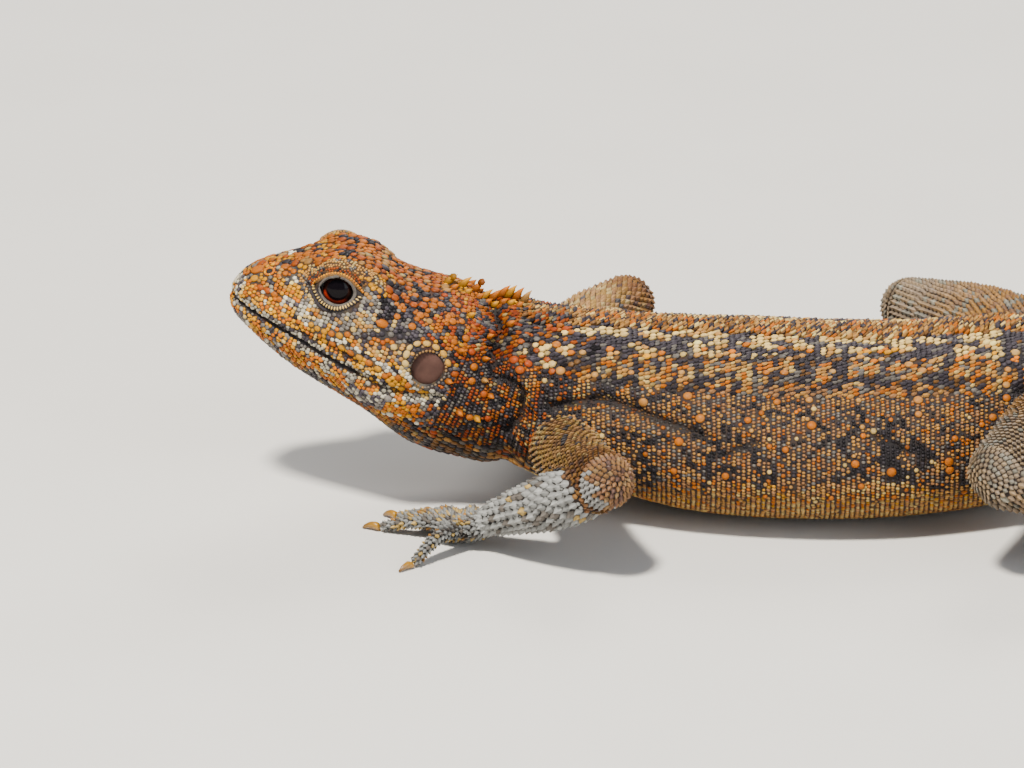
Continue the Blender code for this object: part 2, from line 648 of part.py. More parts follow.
def digit_path(root, heading, length):
    """Points of a digit from inside the palm to its end, which rests on the floor."""
    direction = Vector((math.cos(heading), math.sin(heading), 0))
    middle = root + direction * (length / 2) + Vector((0, 0, DIGIT_ARCH))
    middle.z = max(middle.z, DIGIT_ROOT)
    end = root + direction * length
    end.z = DIGIT_END_HEIGHT
    return tuple(root), tuple(middle), tuple(end)


def extremity(name, wrist, knuckles, sizes, digits, side, claw_name, cutter):
    """A hand or foot with its digits fused on, and its five claws."""
    wrist, knuckles = Vector(wrist), Vector(knuckles)
    reach = knuckles - wrist
    heading = math.atan2(reach.y, reach.x)
    bend = wrist + reach * PALM_BEND - Vector((0, 0, PALM_SAG))
    body = tube(name, (tuple(wrist), tuple(bend), tuple(knuckles)), sizes, PALM_MESH)
    turn_sign = -1.0 if side == "left" else 1.0
    across = Vector((-math.sin(heading), math.cos(heading), 0))
    claws = []
    for number, (length, turn) in enumerate(digits, start=1):
        angle = heading + turn_sign * math.radians(turn)
        root = knuckles + across * (turn_sign * turn * ROOT_SPREAD)
        root = root - reach.normalized() * (ROOT_INSET + abs(turn) * ROOT_INSET_PER_DEGREE)
        path = digit_path(root, angle, length + DIGIT_SUNK)
        radii = [(radius, radius) for radius in (DIGIT_ROOT, DIGIT_ROOT * DIGIT_MIDDLE, DIGIT_END)]
        boolean(body, [tube("digit", path, radii, DIGIT_MESH, ends=(True, False))], "UNION")
        claws.append(claw(f"{claw_name}_{side}_{number}", path[-1], path[-2]))
    boolean(body, [cutter], "DIFFERENCE")
    return [body] + claws


def claw(name, end, before):
    """A curved claw that starts one parting gap past the end of its digit."""
    end, before = Vector(end), Vector(before)
    direction = end - before
    direction.normalize()
    base = end + direction * GAP
    level = Vector((direction.x, direction.y, 0)).normalized()
    drop = base.z - CLAW_TIP_HEIGHT
    rings = []
    for share in CLAW_PLACES:
        centre = base + level * (CLAW_LENGTH * share) + Vector((0, 0, CLAW_ARCH * math.sin(math.pi * share)))
        centre.z -= drop * share ** 2
        radius = CLAW_BASE * (1 - share) ** CLAW_THINNING + CLAW_TIP
        slope = (math.cos(math.pi * share) * CLAW_ARCH * math.pi - 2 * drop * share) / CLAW_LENGTH
        forward = direction if share == 0.0 else (level + Vector((0, 0, slope))).normalized()
        across = forward.cross(Vector((0, 0, 1))).normalized()
        above = across.cross(forward)
        ring = []
        for i in range(CLAW_SIDES):
            angle = 2 * math.pi * (i + 0.5) / CLAW_SIDES
            sideways = across * (radius * CLAW_NARROW * math.cos(angle))
            ring.append(centre + sideways + above * (radius * math.sin(angle)))
        rings.append(ring)
    return loft(name, np.maximum(np.array(rings), np.array([-np.inf, -np.inf, 0.0])))


def build_limbs(side):
    """Both limbs of one side, cut one parting gap clear of the trunk and of each other."""
    i = SIDES.index(side)
    pieces = []
    for build, name in ((upper_arm, "upper_arm_"), (thigh, "thigh_")):
        piece = build(name + side, i)
        pieces.append(boolean(piece, [trunk_cutter()], "DIFFERENCE"))
    lower = forearm("forearm_" + side, i)
    pieces.append(boolean(lower, [upper_arm("cut", i, GAP), trunk_cutter()], "DIFFERENCE"))
    lower = shin("shin_" + side, i)
    pieces.append(boolean(lower, [thigh("cut", i, GAP), trunk_cutter()], "DIFFERENCE"))
    pieces += extremity("hand_" + side, WRIST[i], KNUCKLES[i], PALM_SIZES, FINGERS, side, "finger_claw",
                        forearm("cut", i, GAP))
    pieces += extremity("foot_" + side, ANKLE[i], TOE_ROOTS[i], SOLE_SIZES, TOES, side, "toe_claw",
                        shin("cut", i, GAP))
    return pieces


# Colour, roughness
FINISHES = {
    "head": ((0.62, 0.24, 0.06, 1), 0.6),
    "neck": ((0.42, 0.17, 0.07, 1), 0.65),
    "torso": ((0.30, 0.20, 0.12, 1), 0.65),
    "tail": ((0.25, 0.20, 0.15, 1), 0.65),
    "eye": ((0.03, 0.012, 0.008, 1), 0.08),
    "tympanum": ((0.07, 0.045, 0.04, 1), 0.45),
    "upper_arm": ((0.36, 0.24, 0.09, 1), 0.65),
    "forearm": ((0.50, 0.49, 0.46, 1), 0.6),
    "hand": ((0.50, 0.45, 0.36, 1), 0.6),
    "thigh": ((0.28, 0.20, 0.13, 1), 0.65),
    "shin": ((0.28, 0.20, 0.13, 1), 0.65),
    "foot": ((0.42, 0.36, 0.28, 1), 0.6),
    "finger_claw": ((0.45, 0.24, 0.07, 1), 0.3),
    "toe_claw": ((0.45, 0.24, 0.07, 1), 0.3),
}


def finish(obj):
    """Gives an object the material of its kind and shades it smooth."""
    kind = next(key for key in FINISHES if obj.name.startswith(key))
    colour, roughness = FINISHES[kind]
    material = bpy.data.materials.new(obj.name)
    material.use_nodes = True
    shader = material.node_tree.nodes["Principled BSDF"]
    shader.inputs["Base Color"].default_value = colour
    shader.inputs["Roughness"].default_value = roughness
    shader.inputs["Metallic"].default_value = 0.0
    obj.data.materials.clear()
    obj.data.materials.append(material)
    obj.data.shade_smooth()
    obj.data.set_sharp_from_angle(angle=math.radians(SMOOTH_UNDER))


def main():
    """Builds every piece of the animal."""
    for obj in list(bpy.data.objects):
        bpy.data.objects.remove(obj)
    pieces = [build_head(), build_neck(), build_torso()]
    for name, start, end, sides in TAIL_PARTS:
        pieces.append(build_tail(name, start, end, sides))
    for side in SIDES:
        pieces += [build_eye(side), build_tympanum(side)]
        pieces += build_limbs(side)
    for piece in pieces:
        finish(piece)


main()
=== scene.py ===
"""Western netted dragon: the skin, scales, eyes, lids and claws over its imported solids."""

import math

import bpy
import numpy as np
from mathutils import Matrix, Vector
from mathutils.bvhtree import BVHTree
from mathutils.kdtree import KDTree


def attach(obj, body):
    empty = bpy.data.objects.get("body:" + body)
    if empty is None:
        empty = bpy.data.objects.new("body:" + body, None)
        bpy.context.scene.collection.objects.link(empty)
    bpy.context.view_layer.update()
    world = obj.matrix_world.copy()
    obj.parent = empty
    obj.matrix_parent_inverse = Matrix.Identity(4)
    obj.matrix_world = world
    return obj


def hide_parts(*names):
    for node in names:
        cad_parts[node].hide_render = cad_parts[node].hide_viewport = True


MM = 0.001
SEED = 7
GROUND = 0.0

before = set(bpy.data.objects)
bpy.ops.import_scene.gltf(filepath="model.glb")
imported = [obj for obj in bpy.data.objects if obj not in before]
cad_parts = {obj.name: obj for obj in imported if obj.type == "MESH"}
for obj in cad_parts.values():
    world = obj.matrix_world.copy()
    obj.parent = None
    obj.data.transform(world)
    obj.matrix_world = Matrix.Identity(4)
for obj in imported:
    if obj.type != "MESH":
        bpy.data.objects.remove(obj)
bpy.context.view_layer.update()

# Camera: the photo's scale, angle and middle
PIXELS_PER_MM = 8.8
VIEW_ELEVATION = math.radians(21.0)
VIEW = Vector((0, math.cos(VIEW_ELEVATION), -math.sin(VIEW_ELEVATION)))
CAMERA_DISTANCE = 1.2
VIEW_MIDDLE = (-31.6, 0.0, 13.28)
FLOOR_ROW = 493.0
ORIGIN_COLUMN = 790.0

# Head frame, as in the solids
SNOUT_X, SNOUT_Z = -62.9, 25.0
HEAD_PITCH = math.radians(25.0)
HEAD_BACK = (math.cos(HEAD_PITCH), 0, -math.sin(HEAD_PITCH))
HEAD_END = 26.0
VENT = 103.0
TAIL_LENGTH = 138.0
TAIL_SWING, TAIL_WAVE = 0.55, 70.0
# Middle line of neck, torso and tail: t, x, z, lean in degrees; the tail's x is its distance behind the vent
BODY_LINE = (
    (31.0, -34.2, 14.6, 15.0), (36.5, -29.5, 12.6, 7.0), (42.0, -24.0, 11.2, 0.0), (54.0, -12.0, 9.2, 0.0),
    (70.0, 4.0, 8.2, 0.0), (85.0, 19.0, 8.8, 0.0), (98.0, 32.0, 9.6, 0.0), (103.0, 37.0, 9.0, 0.0),
)
TAIL_LINE = ((6.0, 7.6), (14.0, 5.7), (25.0, 4.2), (45.0, 3.1), (70.0, 2.2), (100.0, 1.35), (125.0, 0.75),
             (138.0, 0.45))

SHOULDER = ((-26.2, -8.0, 10.0), (-27.0, 8.0, 10.8))
UPPER_ARM = ((-24.3, -18.0, 10.0), (-24.0, 18.0, 12.5))
ELBOW = ((-21.2, -26.8, 12.0), (-18.3, 27.0, 13.0))
FOREARM = ((-26.5, -22.8, 8.2), (-23.6, 26.0, 8.8))
WRIST = ((-33.2, -17.8, 4.1), (-29.4, 24.0, 3.6))
KNUCKLES = ((-38.4, -14.2, 1.15), (-34.6, 25.4, 1.1))
HIP = ((32.0, -5.5, 11.5), (32.0, 5.5, 11.5))
THIGH = ((28.0, -16.8, 13.2), (24.0, 15.5, 13.6))
KNEE = ((22.5, -26.3, 12.9), (14.4, 23.6, 13.8))
SHIN = ((30.0, -27.0, 10.6), (22.5, 26.2, 10.2))
ANKLE = ((38.6, -23.6, 3.7), (31.0, 26.6, 3.7))
TOE_ROOTS = ((38.0, -31.4, 1.1), (30.0, 34.4, 1.1))
FINGERS = ((4.2, 50.0), (6.4, 26.0), (7.8, 6.0), (8.0, -14.0), (6.4, -78.0))
TOES = ((4.8, 50.0), (8.0, 30.0), (11.6, 14.0), (14.6, -2.0), (8.0, -46.0))
DIGIT_ROOT, DIGIT_ARCH, DIGIT_END_HEIGHT, DIGIT_SUNK = 0.95, 0.2, 0.56, 1.2
ROOT_SPREAD, ROOT_INSET, ROOT_INSET_PER_DEGREE = 0.025, 0.8, 0.033
SIDES = ("left", "right")

EYE_RADIUS = 2.5
EYE_CENTRE = (-51.0, -4.5, 26.9)
EYE_AXIS = (-0.12, -0.98, 0.12)
# Half sizes of the room that the head's common scales leave around an eye
EYE_ROOM = (3.0, 2.6)
LID_RADIUS = 3.3
EAR_S, EAR_H, EAR_Y = 22.4, 3.4, 9.7
# Half sizes of the ear, and by what share it narrows downwards
EAR_WIDE, EAR_TALL, EAR_TAPER = 2.15, 2.3, 0.30
MOUTH_CORNER = 15.6
MOUTH_LEVEL = -0.5

FLESH = ["head", "neck", "torso", "tail_base", "tail_middle", "tail_tip"]
for flesh_side in SIDES:
    FLESH += [part + flesh_side for part in ("upper_arm_", "forearm_", "hand_", "thigh_", "shin_", "foot_")]


def srgb(red, green, blue):
    """A colour given as 0 to 255 in the photo's terms, as a linear one."""
    values = np.array([red, green, blue]) / 255.0
    return np.where(values <= 0.04045, values / 12.92, ((values + 0.055) / 1.055) ** 2.4)


BLACK = srgb(30, 27, 30)
SLATE = srgb(77, 72, 77)
GREY = srgb(138, 132, 126)
PALE = srgb(212, 205, 188)
CREAM = srgb(238, 204, 138)
YELLOW = srgb(228, 156, 10)
ORANGE = srgb(210, 114, 0)
DEEP_ORANGE = srgb(194, 90, 0)
RED_ORANGE = srgb(188, 76, 4)
BROWN = srgb(120, 84, 48)
TAN = srgb(198, 146, 84)
PINK_BROWN = srgb(150, 110, 78)
OCHRE = srgb(170, 126, 44)
ASH = srgb(206, 206, 203)
DRUM_DARK, DRUM_LIGHT = srgb(52, 34, 29), srgb(92, 64, 56)
RUST = srgb(112, 60, 20)
GREYNESS, DARKENING = 0.35, 0.80
CHEEK_LIGHT, CHEEK_STRONG, THROAT_SHADE = 1.60, 0.84, 0.74
# How much darker the crown, the nape and neck, the larger scales of the head and those of the flank are
CROWN_SHADE, NAPE_SHADE, HEAD_SPOT_SHADE, FLANK_SPOT_SHADE = 0.60, 0.58, 0.74, 0.72


def rich(colours):
    """Colours with part of their grey taken out and a little darker, for soft light."""
    grey = colours.min(axis=1, keepdims=True)
    return np.clip(colours - grey * GREYNESS, 0.0008, 1.0) * DARKENING


def smooth_values(rows, t):
    """Values at t on a smooth curve through rows of (t, value, ...)."""
    table = np.asarray(rows, float)
    knots, values = table[:, 0], table[:, 1:]
    slopes = np.gradient(values, knots, axis=0)
    t = np.clip(np.atleast_1d(t), knots[0], knots[-1])
    i = np.clip(np.searchsorted(knots, t, side="right") - 1, 0, len(knots) - 2)
    span = (knots[i + 1] - knots[i])[:, None]
    u = (t - knots[i])[:, None] / span
    near = (1 + 2 * u) * (1 - u) ** 2 * values[i] + u * (1 - u) ** 2 * span * slopes[i]
    far = u * u * (3 - 2 * u) * values[i + 1] + u * u * (u - 1) * span * slopes[i + 1]
    return near + far


def head_place(s, h):
    """World x and z of the head's own s and h."""
    x = SNOUT_X + s * math.cos(HEAD_PITCH) + h * math.sin(HEAD_PITCH)
    z = SNOUT_Z - s * math.sin(HEAD_PITCH) + h * math.cos(HEAD_PITCH)
    return x, z


def head_local(points):
    """The head's own s and h of world points."""
    dx, dz = points[..., 0] - SNOUT_X, points[..., 2] - SNOUT_Z
    s = dx * math.cos(HEAD_PITCH) - dz * math.sin(HEAD_PITCH)
    h = dx * math.sin(HEAD_PITCH) + dz * math.cos(HEAD_PITCH)
    return s, h


def tail_path(d):
    """x, y and heading of the tail's middle line at distance d behind the vent."""
    steps = np.linspace(0.0, TAIL_LENGTH, 400)
    heading = -TAIL_SWING * np.sin(np.pi * steps / TAIL_WAVE)
    length = steps[1] - steps[0]
    x = np.concatenate(([0.0], np.cumsum(np.cos(heading[1:])) * length))
    y = np.concatenate(([0.0], np.cumsum(np.sin(heading[1:])) * length))
    return np.interp(d, steps, x), np.interp(d, steps, y), np.interp(d, steps, heading)


def trunk_rows():
    """t, x, y, z, lean and heading along the middle line from snout to tail."""
    rows = []
    for s in (-0.5, 6.0, 13.0, 20.0, 26.0):
        x, z = head_place(s, 0.6 + s * 0.05)
        rows.append((s, x, 0.0, z, HEAD_PITCH, 0.0))
    for t, x, z, lean in BODY_LINE:
        rows.append((t, x, 0.0, z, math.radians(lean), 0.0))
    for d, z in TAIL_LINE:
        x, y, heading = tail_path(d)
        rows.append((VENT + d, BODY_LINE[-1][1] + x, y, z, 0.0, heading))
    return rows


TRUNK = trunk_rows()


def seeded(name):
    """A random source that is the same each run."""
    return np.random.default_rng(SEED + sum(ord(c) * (i + 1) for i, c in enumerate(name)))


def hashed(ix, iy, salt):
    """Numbers from 0 to 1 that depend only on whole-number places."""
    n = np.sin(ix * 127.1 + iy * 311.7 + salt * 74.7) * 43758.5453
    return n - np.floor(n)


def soft_noise(x, y, salt=0.0):
    """Smooth noise from 0 to 1 on a plane."""
    ix, iy = np.floor(x), np.floor(y)
    fx, fy = x - ix, y - iy
    fx, fy = fx * fx * (3 - 2 * fx), fy * fy * (3 - 2 * fy)
    low = hashed(ix, iy, salt) * (1 - fx) + hashed(ix + 1, iy, salt) * fx
    high = hashed(ix, iy + 1, salt) * (1 - fx) + hashed(ix + 1, iy + 1, salt) * fx
    return low * (1 - fy) + high * fy


def blotches(x, y, salt=0.0):
    """Distance to the nearest of scattered spots, one in each unit cell, and a number for that spot."""
    ix, iy = np.floor(x), np.floor(y)
    best = np.full(np.shape(x), 9.0)
    mark = np.zeros(np.shape(x))
    for dx in (-1, 0, 1):
        for dy in (-1, 0, 1):
            cx, cy = ix + dx, iy + dy
            px = cx + 0.2 + 0.6 * hashed(cx, cy, salt + 1)
            py = cy + 0.2 + 0.6 * hashed(cx, cy, salt + 2)
            d = np.hypot(x - px, y - py)
            nearer = d < best
            best = np.where(nearer, d, best)
            mark = np.where(nearer, hashed(cx, cy, salt + 3), mark)
    return best, mark


def pick(chance, *choices):
    """Colours chosen by a number from 0 to 1: pairs of upper limit and colour, and the last colour."""
    colour = np.broadcast_to(choices[-1], chance.shape + (3,)).copy()
    for limit, value in reversed(choices[:-1]):
        colour[chance < limit] = value
    return colour


def faded(colour, other, share):
    """A mix of two colours by a share for each point."""
    return colour * (1 - share[..., None]) + other * share[..., None]


def either(here, one, other):
    """One colour where a mask holds and the other elsewhere."""
    return np.where(here[..., None], one, other)


def unit(vectors):
    """Rows of vectors brought to a length of 1."""
    return vectors / np.linalg.norm(vectors, axis=1, keepdims=True)


def chosen(stay, *arrays):
    """The same part of several arrays."""
    return (values[stay] for values in arrays)


def varied(rng, count, spread):
    """Factors around 1, for sizes."""
    return 1 + spread * rng.standard_normal(count).clip(-2, 2)


def speckled(rng, colour, spread, limit):
    """Colours made lighter or darker from scale to scale, by the limit at most."""
    return colour * (1 + spread * rng.standard_normal((len(colour), 1))).clip(1 - limit, 1 + limit)


# Markings


# Distances in mm down from the middle of the back to the ends of its zones
SPINE_ZONE, BACK_ZONE, SIDE_ZONE, FLANK_ZONE, HEM_ZONE = 3.6, 9.8, 15.2, 25.2, 29.0
# The same on the neck, down to the throat
NECK_EDGE = 19.0
# Rows of pale clusters on the back: length and slant of their cells, where the cells start and how deep they
# are, noise number, radius, share of the cells filled, and where the row starts and ends
CLUSTERS = (
    (3.9, -0.10, 3.6, 2.7, 11, 0.41, 0.94, SPINE_ZONE, 6.4),
    (3.0, -0.12, 6.4, 2.6, 23, 0.40, 0.88, 6.4, 10.4),
    (2.3, 0.08, 0.0, 3.4, 29, 0.43, 0.86, 9.4, 15.0),
)


def torso_zones(t, arc):
    """The arc with ragged edges, and where the clusters of each row lie."""
    ragged = arc + 1.0 * (soft_noise(t / 1.6, arc / 1.6, 41) - 0.5)
    rows = []
    for long, slant, first, deep, salt, radius, filled, start, end in CLUSTERS:
        near, mark = blotches(t / long + arc * slant, (arc - first) / deep, salt)
        rows.append((near < radius) & (mark < filled) & (ragged > start) & (ragged < end))
    return ragged, rows


def plates_here(t, arc):
    """Where the larger pale plates of the back lie."""
    first, second, _ = torso_zones(t, arc)[1]
    return first | second


def plate_colour(t, arc, chance):
    """Cream near the middle of the back, turning to orange lower down."""
    low = np.clip((arc - 5.4) / 5.0 + 0.5 * (soft_noise(t / 5.0, arc / 3.0, 43) - 0.5), 0, 1)
    cream = pick(chance, (0.7, CREAM * 1.12), (0.9, CREAM * 0.95), TAN)
    warm = pick(chance, (0.45, CREAM * 0.9), (0.7, TAN), (0.9, ORANGE), YELLOW * 0.9)
    return either(low > 0.45, warm, cream)


def back_colour(t, arc, ragged, plates, chance):
    """A slate net around pale clusters, and brown and tan along the middle."""
    slate = pick(chance, (0.58, SLATE * 1.2), (0.76, SLATE * 0.9), (0.95, GREY * 0.85), BROWN)
    spine = pick(chance, (0.24, SLATE * 0.9), (0.44, BROWN * 1.1), (0.74, TAN * 0.9), (0.88, ORANGE * 0.85),
                 CREAM)
    return either(ragged < SPINE_ZONE + 0.2, spine, either(plates, plate_colour(t, arc, chance), slate))


def flank_colour(t, arc, chance):
    """Tan, brown and grey in a thin dark net."""
    lines = np.minimum(np.abs(soft_noise(t / 2.6 + arc / 6.0, arc / 2.4 - t / 9.0, 31) - 0.5),
                       np.abs(soft_noise(t / 3.4 - arc / 4.0, arc / 3.2 + t / 8.0, 35) - 0.5))
    ground = pick(chance, (0.34, TAN * 0.95), (0.62, PINK_BROWN * 1.25), (0.74, ORANGE * 0.75),
                  (0.93, GREY * 0.95), SLATE * 0.85)
    return either(lines < 0.020 + 0.035 * chance, pick(chance, (0.6, SLATE * 0.65), BLACK), ground)


def torso_colour(t, arc, chance):
    """Netted back and flank and plain belly; arc is the distance in mm down from the middle of the back."""
    ragged, (first, second, third) = torso_zones(t, arc)
    back = back_colour(t, arc, ragged, first | second, chance)
    cluster = pick(chance, (0.30, ORANGE * 0.9), (0.72, TAN), (0.9, CREAM * 0.8), GREY)
    side = either(third, cluster, pick(chance, (0.66, SLATE * 0.85), (0.84, BROWN * 0.9), GREY * 0.8))
    hem = pick(chance, (0.12, ORANGE * 0.85), (0.46, TAN * 1.15), (0.56, YELLOW * 0.8), (0.76, CREAM * 0.85),
               (0.92, PINK_BROWN * 1.6), BROWN * 1.3)
    colour = pick(chance, (0.5, TAN * 0.95), (0.8, CREAM * 0.75), PINK_BROWN)
    flank = flank_colour(t, arc, chance)
    for limit, value in ((HEM_ZONE, hem), (FLANK_ZONE, flank), (SIDE_ZONE, side), (BACK_ZONE, back)):
        colour = either(ragged < limit, value, colour)
    return colour


def neck_colour(t, arc, chance):
    """Red-orange clusters on grey and black, and a duller throat."""
    near, mark = blotches(t / 2.1, arc / 1.9, 51)
    cluster = pick(chance, (0.42, RED_ORANGE), (0.88, ORANGE), CREAM * 0.9) * NAPE_SHADE
    ground = pick(chance, (0.42, SLATE), (0.62, GREY * 0.75), (0.80, DEEP_ORANGE * 0.7), BLACK)
    top = either((near < 0.42) & (mark < 0.8), cluster, ground)
    warm = pick(chance, (0.5, DEEP_ORANGE * 0.6), TAN * 0.55)
    cool = pick(chance, (0.5, GREY * 0.55), (0.8, BROWN * 0.9), SLATE * 0.8)
    throat = either(soft_noise(t / 1.6, arc / 1.6, 53) > 0.55, warm, cool)
    return either(arc < NECK_EDGE + 3 * soft_noise(t / 3, arc / 3, 57), top, throat)


def balanced(colour, strong, light):
    """Multiplies strong colours by one factor and pale or grey ones by the other."""
    greyness = colour.min(axis=-1, keepdims=True) / np.maximum(colour.max(axis=-1, keepdims=True), 1e-6)
    return colour * (strong + (light - strong) * np.clip(greyness * 2.2, 0, 1))


# Zones of the head in its own s and h: the end and lower edge of the snout, the top of the throat, and the
# lower front corners of the temple and the nape
SNOUT_END, SNOUT_LOW, THROAT_TOP = 4.5, 2.2, -3.6
TEMPLE, NAPE = (12.5, 2.8), (17.0, 4.8)
# Ovals of the head, as middle and half sizes: the grey around the eye and the dark patch behind it
AROUND_EYE, BEHIND_EYE = (10.4, 6.4, 4.4, 3.4), (15.3, 7.0, 1.5, 1.7)
# The lower edge of the crown, h over s, and where the crown ends
CROWN_EDGE = ((0, 4, 8, 12, 16, 20), (4.2, 6.2, 8.1, 8.9, 8.3, 8.1))
CROWN_END = 19.5


def in_oval(s, h, oval):
    """Whether places of the head lie in an oval."""
    return np.hypot((s - oval[0]) / oval[2], (h - oval[1]) / oval[3]) < 1.0


def crown_colour(flecks, chance):
    """Orange with slate flecks."""
    dark = pick(chance, (0.7, SLATE * 0.8), BLACK)
    light = pick(chance, (0.52, ORANGE), (0.80, DEEP_ORANGE), (0.90, TAN), SLATE)
    return either(flecks + 0.25 * chance > 0.66, dark, light) * CROWN_SHADE


def snout_colour(flecks, chance):
    """Golden with slate and grey flecks."""
    dark = pick(chance, (0.55, SLATE), (0.85, GREY), PALE * 0.7)
    return either(flecks > 0.60, dark, pick(chance, (0.40, ORANGE * 0.8), (0.85, YELLOW * 0.8), TAN * 0.8))


def cheek_colour(s, h, chance):
    """Golden rows and grey, white and slate between them, and the jaw under the mouth."""
    patches = soft_noise(s / 1.6, h / 1.3, 63)
    over = h - MOUTH_LEVEL + 0.35 * (patches - 0.5)
    warm = pick(chance, (0.60, YELLOW), (0.86, ORANGE), (0.95, CREAM), PALE * 0.8)
    cool = pick(chance, (0.46, PALE * 0.9), (0.66, GREY), (0.80, SLATE), (0.94, CREAM * 0.85), BLACK)
    front = (over > 0.9) & (s < 6.5)
    row = ((over > 0.9) & (over < 2.1)) | ((over > 2.9) & (over < 3.9) & (s > 7.5)) | front
    cheek = either(row & (patches > 0.30), warm, cool)
    gape = (np.abs((h + 1.4) - 0.05 * (s - 14)) < 1.3) & (s > 13) & (s < 21)
    cheek = either(gape & (patches > 0.25), warm, cheek)
    bright = pick(chance, (0.5, ORANGE), (0.85, YELLOW), PALE * 0.8)
    dull = pick(chance, (0.4, PALE * 0.75), (0.75, GREY * 0.9), SLATE)
    jaw = either(patches > 0.45, bright, dull)
    return balanced(either(over < -0.3, jaw, cheek), CHEEK_STRONG, CHEEK_LIGHT)


def nape_colour(s, h, chance):
    """Red-orange clusters on slate, grey and black."""
    near, mark = blotches(s / 2.0, h / 1.9, 73)
    cluster = pick(chance, (0.30, RED_ORANGE), (0.9, ORANGE), YELLOW) * NAPE_SHADE
    ground = pick(chance, (0.5, SLATE), (0.75, GREY * 0.8), BLACK)
    return either((near < 0.45) & (mark < 0.8), cluster, ground)


def throat_colour(s, h, chance):
    """A net of orange and grey."""
    warm = pick(chance, (0.5, ORANGE * 0.7), (0.8, YELLOW * 0.6), BROWN)
    cool = pick(chance, (0.4, GREY * 0.7), (0.85, SLATE), CREAM * 0.5)
    return either(soft_noise(s / 1.2, h / 1.0, 71) > 0.5, warm, cool) * THROAT_SHADE


def head_colour(s, h, across, chance):
    """Orange crown with slate flecks, yellow cheeks with grey and white, and a netted throat."""
    flecks = soft_noise(s / 1.1, (h * 0.8 + np.abs(across + 0.3)) / 1.1, 61)
    rag = flecks * 1.2 - 0.6
    snout = (s < SNOUT_END + rag) & (h > SNOUT_LOW)
    colour = either(snout, snout_colour(flecks, chance), cheek_colour(s, h, chance))
    colour = either(h < THROAT_TOP + rag, throat_colour(s, h, chance), colour)
    temple = pick(chance, (0.32, TAN * 0.9), (0.50, CREAM * 0.75), (0.66, SLATE), (0.84, GREY),
                  ORANGE * 0.75)
    colour = either((s > TEMPLE[0] + rag) & (h > TEMPLE[1] + rag), temple, colour)
    colour = either((s > NAPE[0] + rag) & (h > NAPE[1] + rag), nape_colour(s, h, chance), colour)
    rear = pick(chance, (0.34, SLATE), (0.54, GREY * 0.75), (0.66, TAN * 0.8), (0.84, DEEP_ORANGE * 0.7),
                BLACK)
    colour = either((s > HEAD_END - 1.6 + 2.4 * rag) & (h < NAPE[1] + rag), rear, colour)
    dark = in_oval(s, h, BEHIND_EYE) & (chance < 0.8)
    colour = either(dark, pick(chance, (0.5, BLACK), SLATE), colour)
    around = pick(chance, (0.36, GREY), (0.52, PALE * 0.75), (0.76, TAN * 0.8), (0.90, SLATE), CREAM * 0.8)
    colour = either(in_oval(s, h, AROUND_EYE), around, colour)
    edge = np.interp(s, *CROWN_EDGE)
    colour = either((h > edge + rag * 0.4) & (s < CROWN_END), crown_colour(flecks, chance), colour)
    golden = pick(chance, (0.62, YELLOW * 0.7), (0.88, ORANGE * 0.7), SLATE)
    return either((np.abs(h - edge - 0.7) < 0.75) & (s > 6.5) & (s < 15), golden, colour)


def limb_colour(kind, along, turn, chance):
    """Plain scales of a limb: ochre upper arm, pale forearm and hand, brown-grey hind leg."""
    if kind == "upper_arm":
        colour = pick(chance, (0.30, OCHRE * 1.2), (0.50, BROWN * 2.0), (0.76, TAN * 0.95),
                      (0.90, CREAM * 0.8), SLATE)
        colour = faded(colour, ASH * 0.55, np.full(len(colour), 0.24))
        return faded(colour, RUST, np.clip((along - 0.74) * 2.8, 0, 0.6))
    if kind == "forearm":
        colour = pick(chance, (0.60, ASH * 0.98), (0.84, ASH * 0.76), (0.96, GREY), CREAM * 0.75)
        rusty = np.clip((along + 0.06) * 6, 0, 1) < (chance * 7.31) % 1.0
        return either(rusty, RUST * 0.9, colour)
    if kind in ("hand", "finger", "toe", "foot"):
        return pick(chance, (0.5, ASH * 0.72), (0.7, GREY * 0.85), (0.9, CREAM * 0.70), TAN * 0.85)
    light = pick(chance, (0.6, TAN * 0.72), (0.85, PINK_BROWN), PALE * 0.55)
    dark = pick(chance, (0.5, PINK_BROWN * 0.85), (0.8, GREY * 0.8), TAN * 0.55)
    mottle = soft_noise(along * 9, turn / 60.0, 81)
    # Towards the knee the scales are faded to pale: partly the knee's own paler scales, partly a painted
    # highlight where light falls on it
    knee = along - 0.50 if kind == "thigh" else 0.45 - along
    return faded(either(mottle > 0.5, light, dark), PALE * 0.80, np.clip(knee * 1.3, 0, 0.5))


def tail_colour(d, turn, chance):
    """Faint dark and tan cross bars on grey-brown, and a paler underside."""
    bars = 0.5 + 0.5 * np.sin(2 * np.pi * d / 9.0 + 1.2 * np.sin(turn / 40.0))
    light = pick(chance, (0.45, TAN * 0.75), (0.68, GREY * 0.85), (0.86, CREAM * 0.6), BROWN * 1.4)
    dark = pick(chance, (0.35, SLATE * 1.1), (0.65, BROWN * 0.95), (0.88, GREY * 0.65), TAN * 0.5)
    under = pick(chance, (0.6, CREAM * 0.65), TAN * 0.9)
    return either(turn < -35, under, either(bars > 0.45, light, dark))


